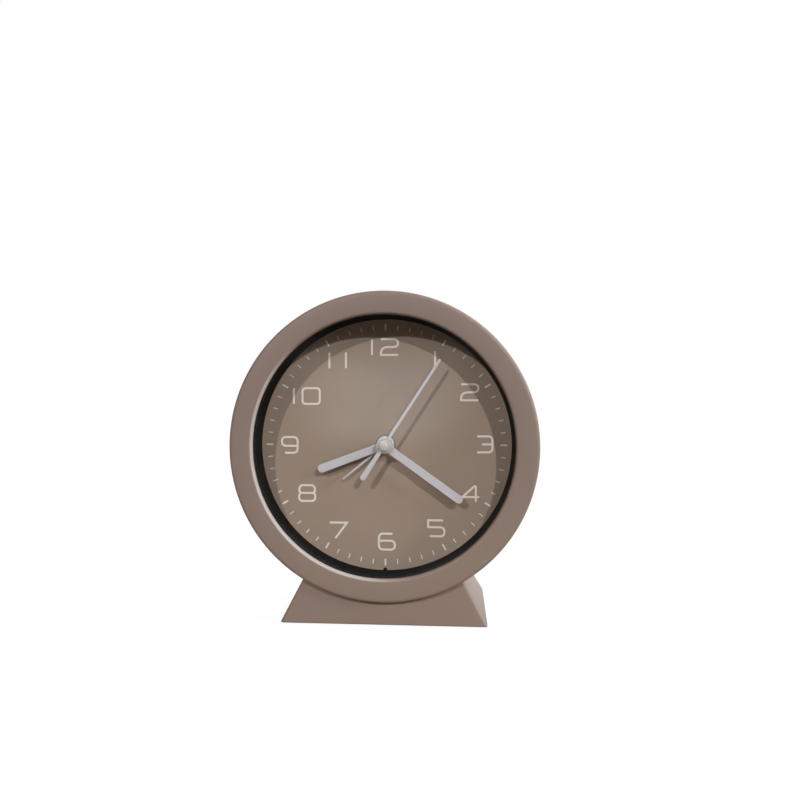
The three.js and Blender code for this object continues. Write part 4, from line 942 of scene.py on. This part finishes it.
# Outside pieces
fit(front_bezel(), "case", "case_plastic", bezel_taupe, "front_bezel")
fit(drum_shell(), "case", "case_plastic", case_taupe, "rear_housing")
fit(foot_shell(), "case", "case_plastic", case_taupe, "base_shell")
fit(lens_disc(), "case", "lens_glass", lens_clear, "lens")
fit(inner_ring(), "case", "black_plastic", ring_black, "dial_ring")
fit(dial_disc(), "case", "dial_plastic", dial_taupe, "dial")
fit(hour_numerals(), "case", "dial_plastic", numeral_ink)
fit(tick_circle("minute_ticks", 0.25, 1.2, 0.04, 60), "case", "dial_plastic", numeral_ink)
fit(tick_circle("hour_ticks", 0.42, 1.65, 0.05, 12), "case", "dial_plastic", numeral_ink)
fit(floor_plate(), "case", "black_plastic", plate_black, "base_plate")

# Each hand's piece, body, solid, then its angle, depth, length, widths, bore and tail
HANDS = [
    ("alarm_needle", "alarm_time", "alarm_hand", 231, -22.2, 27, 1.2, 0.8, 3.2),
    ("hour_blade", "hours", "hour_hand", 249.6, -24.4, 35, 3.8, 4.1, 2.3),
    ("minute_blade", "minutes", "minute_hand", 125.6, -26.6, 46.3, 3.7, 3.9, 1.5),
    ("second_blade", "seconds", "second_hand", 33.2, -28.8, 49.8, 1.5, 1.3, 0.62, (19.8, 1.8, 2.9)),
]
for name, body, solid, *shape in HANDS:
    fit(hand(name, *shape), body, "hand_metal", hand_lacquer, solid)
fit(hand_cap(), "seconds", "cap_plastic", cap_cream, "hand_cap")

fit(setting_knob("time_setter", ARBOR_SPOT), "time_setting", "black_plastic", control_black, "time_knob")
fit(setting_knob("alarm_setter", -ARBOR_SPOT), "alarm_setting", "black_plastic", control_black, "alarm_knob")
fit(switch_tab(), "switch", "black_plastic", control_black, "alarm_switch")
fit(battery_lid(), "door", "case_plastic", case_taupe, "battery_door")

pad = foot_pad("pad")
for i, (x, y) in enumerate(PAD_SPOTS, 1):
    one = moved(copied(pad, f"rest_pad_{i}"), (x, y, 0))
    fit(one, "case", "pad_rubber", pad_rubber, f"foot_pad_{i}")
bpy.data.objects.remove(pad)

case_screw = cross_screw("case_screw", 15.7)
for i, (x, z) in enumerate(screw_spots(), 1):
    one = moved(copied(case_screw, f"case_screw_{i}"), (x, -9.2, z))
    fit(one, "case", "screw_steel", screw_zinc, f"housing_screw_{i}")
bpy.data.objects.remove(case_screw)
floor_screw = cross_screw("floor_screw", 6.5)
for i, x in enumerate(PLATE_SCREWS, 1):
    one = moved(copied(floor_screw, f"floor_screw_{i}"), (x, PLATE_MIDDLE, 2.3), (-math.pi / 2, 0, 0))
    fit(one, "case", "screw_steel", screw_zinc, f"plate_screw_{i}")
bpy.data.objects.remove(floor_screw)

# Works inside: the solids stay and get their finishes
INNER_FINISHES = {
    "movement_front_case": movement_pale,
    "movement_back_case": movement_pale,
    "train_bridge": movement_pale,
    "base_screw_1": screw_zinc,
    "base_screw_2": screw_zinc,
    "movement_screw_1": screw_zinc,
    "movement_screw_2": screw_zinc,
    "stator": stator_iron,
    "coil": coil_copper,
    "circuit_board": board_green,
    "quartz_crystal": leaf_steel,
    "buzzer": wheel_brass,
    "alarm_contact_spring": leaf_steel,
    "battery": battery_sleeve,
    "contact_positive": leaf_steel,
    "contact_negative": leaf_steel,
    "cannon_pinion": wheel_brass,
    "centre_wheel": wheel_brass,
    "hour_wheel": wheel_acetal,
    "second_wheel": wheel_acetal,
    "minute_wheel": wheel_acetal,
    "third_wheel": wheel_acetal,
    "intermediate_wheel": wheel_acetal,
    "rotor": rotor_magnet,
    "alarm_wheel": wheel_acetal,
    "alarm_pinion": wheel_acetal,
}
for name, finish in INNER_FINISHES.items():
    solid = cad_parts[name]
    solid.data.materials.clear()
    solid.data.materials.append(finish)

# Stage: pale floor, dim room in front and a bright one behind, three lamps
WHITE = (1, 1, 1, 1)


def looked_at(tree):
    """One for what the camera sees straight or through the lens, and zero for light on the object."""
    ray = put(tree, "ShaderNodeLightPath").outputs
    straight = sums(tree, "MAXIMUM", ray["Is Camera Ray"], ray["Is Transmission Ray"])
    bounces = sums(tree, "ADD", ray["Diffuse Depth"], ray["Glossy Depth"])
    first = sums(tree, "LESS_THAN", bounces, 0.5)
    return sums(tree, "MULTIPLY", straight, first)


def front_patch(tree, x, y):
    """One in a narrow sector in front of the clock, a little to its left, and zero elsewhere."""
    slope = sums(tree, "DIVIDE", x, y)
    width = sums(tree, "ABSOLUTE", sums(tree, "SUBTRACT", slope, 0.1))
    sector = ramp(tree, width, 0.15, 0.04)
    ahead = sums(tree, "LESS_THAN", y, 0.0)
    return sums(tree, "MULTIPLY", sector, ahead)


def floor_paint():
    """White where the camera looks, darker for the light on the clock and for the lens's mirror."""
    material, tree, shader = start_material("floor_white")
    tree.nodes.remove(shader)
    shade = put(tree, "ShaderNodeBsdfDiffuse", {"Color": (0.09, 0.09, 0.09, 1)})
    white = put(tree, "ShaderNodeEmission", {"Color": WHITE, "Strength": 0.93})
    seen = put(tree, "ShaderNodeAddShader", {0: white.outputs[0], 1: shade.outputs[0]})
    place = put(tree, "ShaderNodeSeparateXYZ", {"Vector": object_place(tree)}).outputs
    near = ramp(tree, place["Y"], -0.24, -0.09)
    cloth = blend(tree, near, (0.07, 0.05, 0.04, 1), (0.62, 0.53, 0.43, 1))
    plain = put(tree, "ShaderNodeBsdfDiffuse", {"Color": cloth})
    behind = ramp(tree, place["Y"], -0.05, 0.08, low=0.05)
    far_front = ramp(tree, place["Y"], -0.7, -2.6, high=0.8)
    patch = front_patch(tree, place["X"], place["Y"])
    shine = sums(tree, "MULTIPLY_ADD", far_front, patch, behind)
    mirrored = put(tree, "ShaderNodeEmission", {"Color": WHITE, "Strength": shine})
    bounced = put(tree, "ShaderNodeLightPath").outputs["Glossy Depth"]
    glossy = sums(tree, "GREATER_THAN", bounced, 0.5)
    lit = put(tree, "ShaderNodeMixShader", {0: glossy, 1: plain.outputs[0], 2: mirrored.outputs[0]})
    mixed = put(tree, "ShaderNodeMixShader", {0: looked_at(tree), 1: lit.outputs[0], 2: seen.outputs[0]})
    feed(tree, tree.nodes["Material Output"], {"Surface": mixed.outputs[0]})
    return material


def room_light():
    """A room that is bright behind the clock and to its right, with a window and a lit skyline ahead."""
    world = bpy.data.worlds.new("studio")
    bpy.context.scene.world = world
    world.use_nodes = True
    sky = world.node_tree
    sky.nodes.clear()
    ray = put(sky, "ShaderNodeTexCoord").outputs["Generated"]
    toward = put(sky, "ShaderNodeSeparateXYZ", {"Vector": ray}).outputs
    level = ramp(sky, toward["Y"], -0.35, 0.5, low=0.04, high=0.9)
    side = ramp(sky, toward["X"], -0.7, 0.2, low=0.1)
    aim = vectors(sky, "DOT_PRODUCT", ray, (0.8, 0.2, 0.565))["Value"]
    window = ramp(sky, aim, 0.5, 0.97, high=2.0)
    skyline = ramp(sky, sums(sky, "ABSOLUTE", toward["Z"]), 0.1, 0.02, high=0.8)
    patch = front_patch(sky, toward["X"], toward["Y"])
    walls = sums(sky, "MULTIPLY_ADD", level, side, window)
    room = sums(sky, "MULTIPLY_ADD", skyline, patch, walls)
    strength = put(sky, "ShaderNodeMix", {0: looked_at(sky), 2: room, 3: 1.0})
    glow = put(sky, "ShaderNodeBackground", {"Color": WHITE, "Strength": strength.outputs[0]})
    put(sky, "ShaderNodeOutputWorld", {"Surface": glow.outputs[0]})


def lamp(name, aside, rise, energy, spread):
    """A lamp far off, its place given in degrees from straight ahead and up."""
    clear_selection()
    bpy.ops.object.light_add(type="SUN", location=(math.sin(math.radians(aside)), -1, 0.7))
    light = bpy.context.active_object
    light.name = name
    light.rotation_euler = (math.pi / 2 - math.radians(rise), 0, math.radians(aside))
    light.data.energy = energy
    light.data.angle = math.radians(spread)


clear_selection()
bpy.ops.mesh.primitive_plane_add(size=8)
floor = named("floor")
floor.data.materials.append(floor_paint())
room_light()
lamp("lamp_left", aside=-24.3, rise=27.5, energy=1.45, spread=1.3)
lamp("lamp_right", aside=27.1, rise=27.9, energy=1.6, spread=1.3)
lamp("lamp_aside", aside=68, rise=20, energy=0.8, spread=4)

# Camera fitted to the bezel, lip, dial and foot in the photo
clear_selection()
bpy.ops.object.camera_add(
    location=(0.034384, -0.37753, 0.108249), rotation=(math.pi / 2 - 0.0004, 0, 0.0760),
)
camera = bpy.context.active_object
camera.data.lens = 32.626
camera.data.sensor_width = 36
camera.data.clip_start = 0.01
bpy.context.scene.camera = camera
bpy.context.scene.view_settings.view_transform = "Standard"
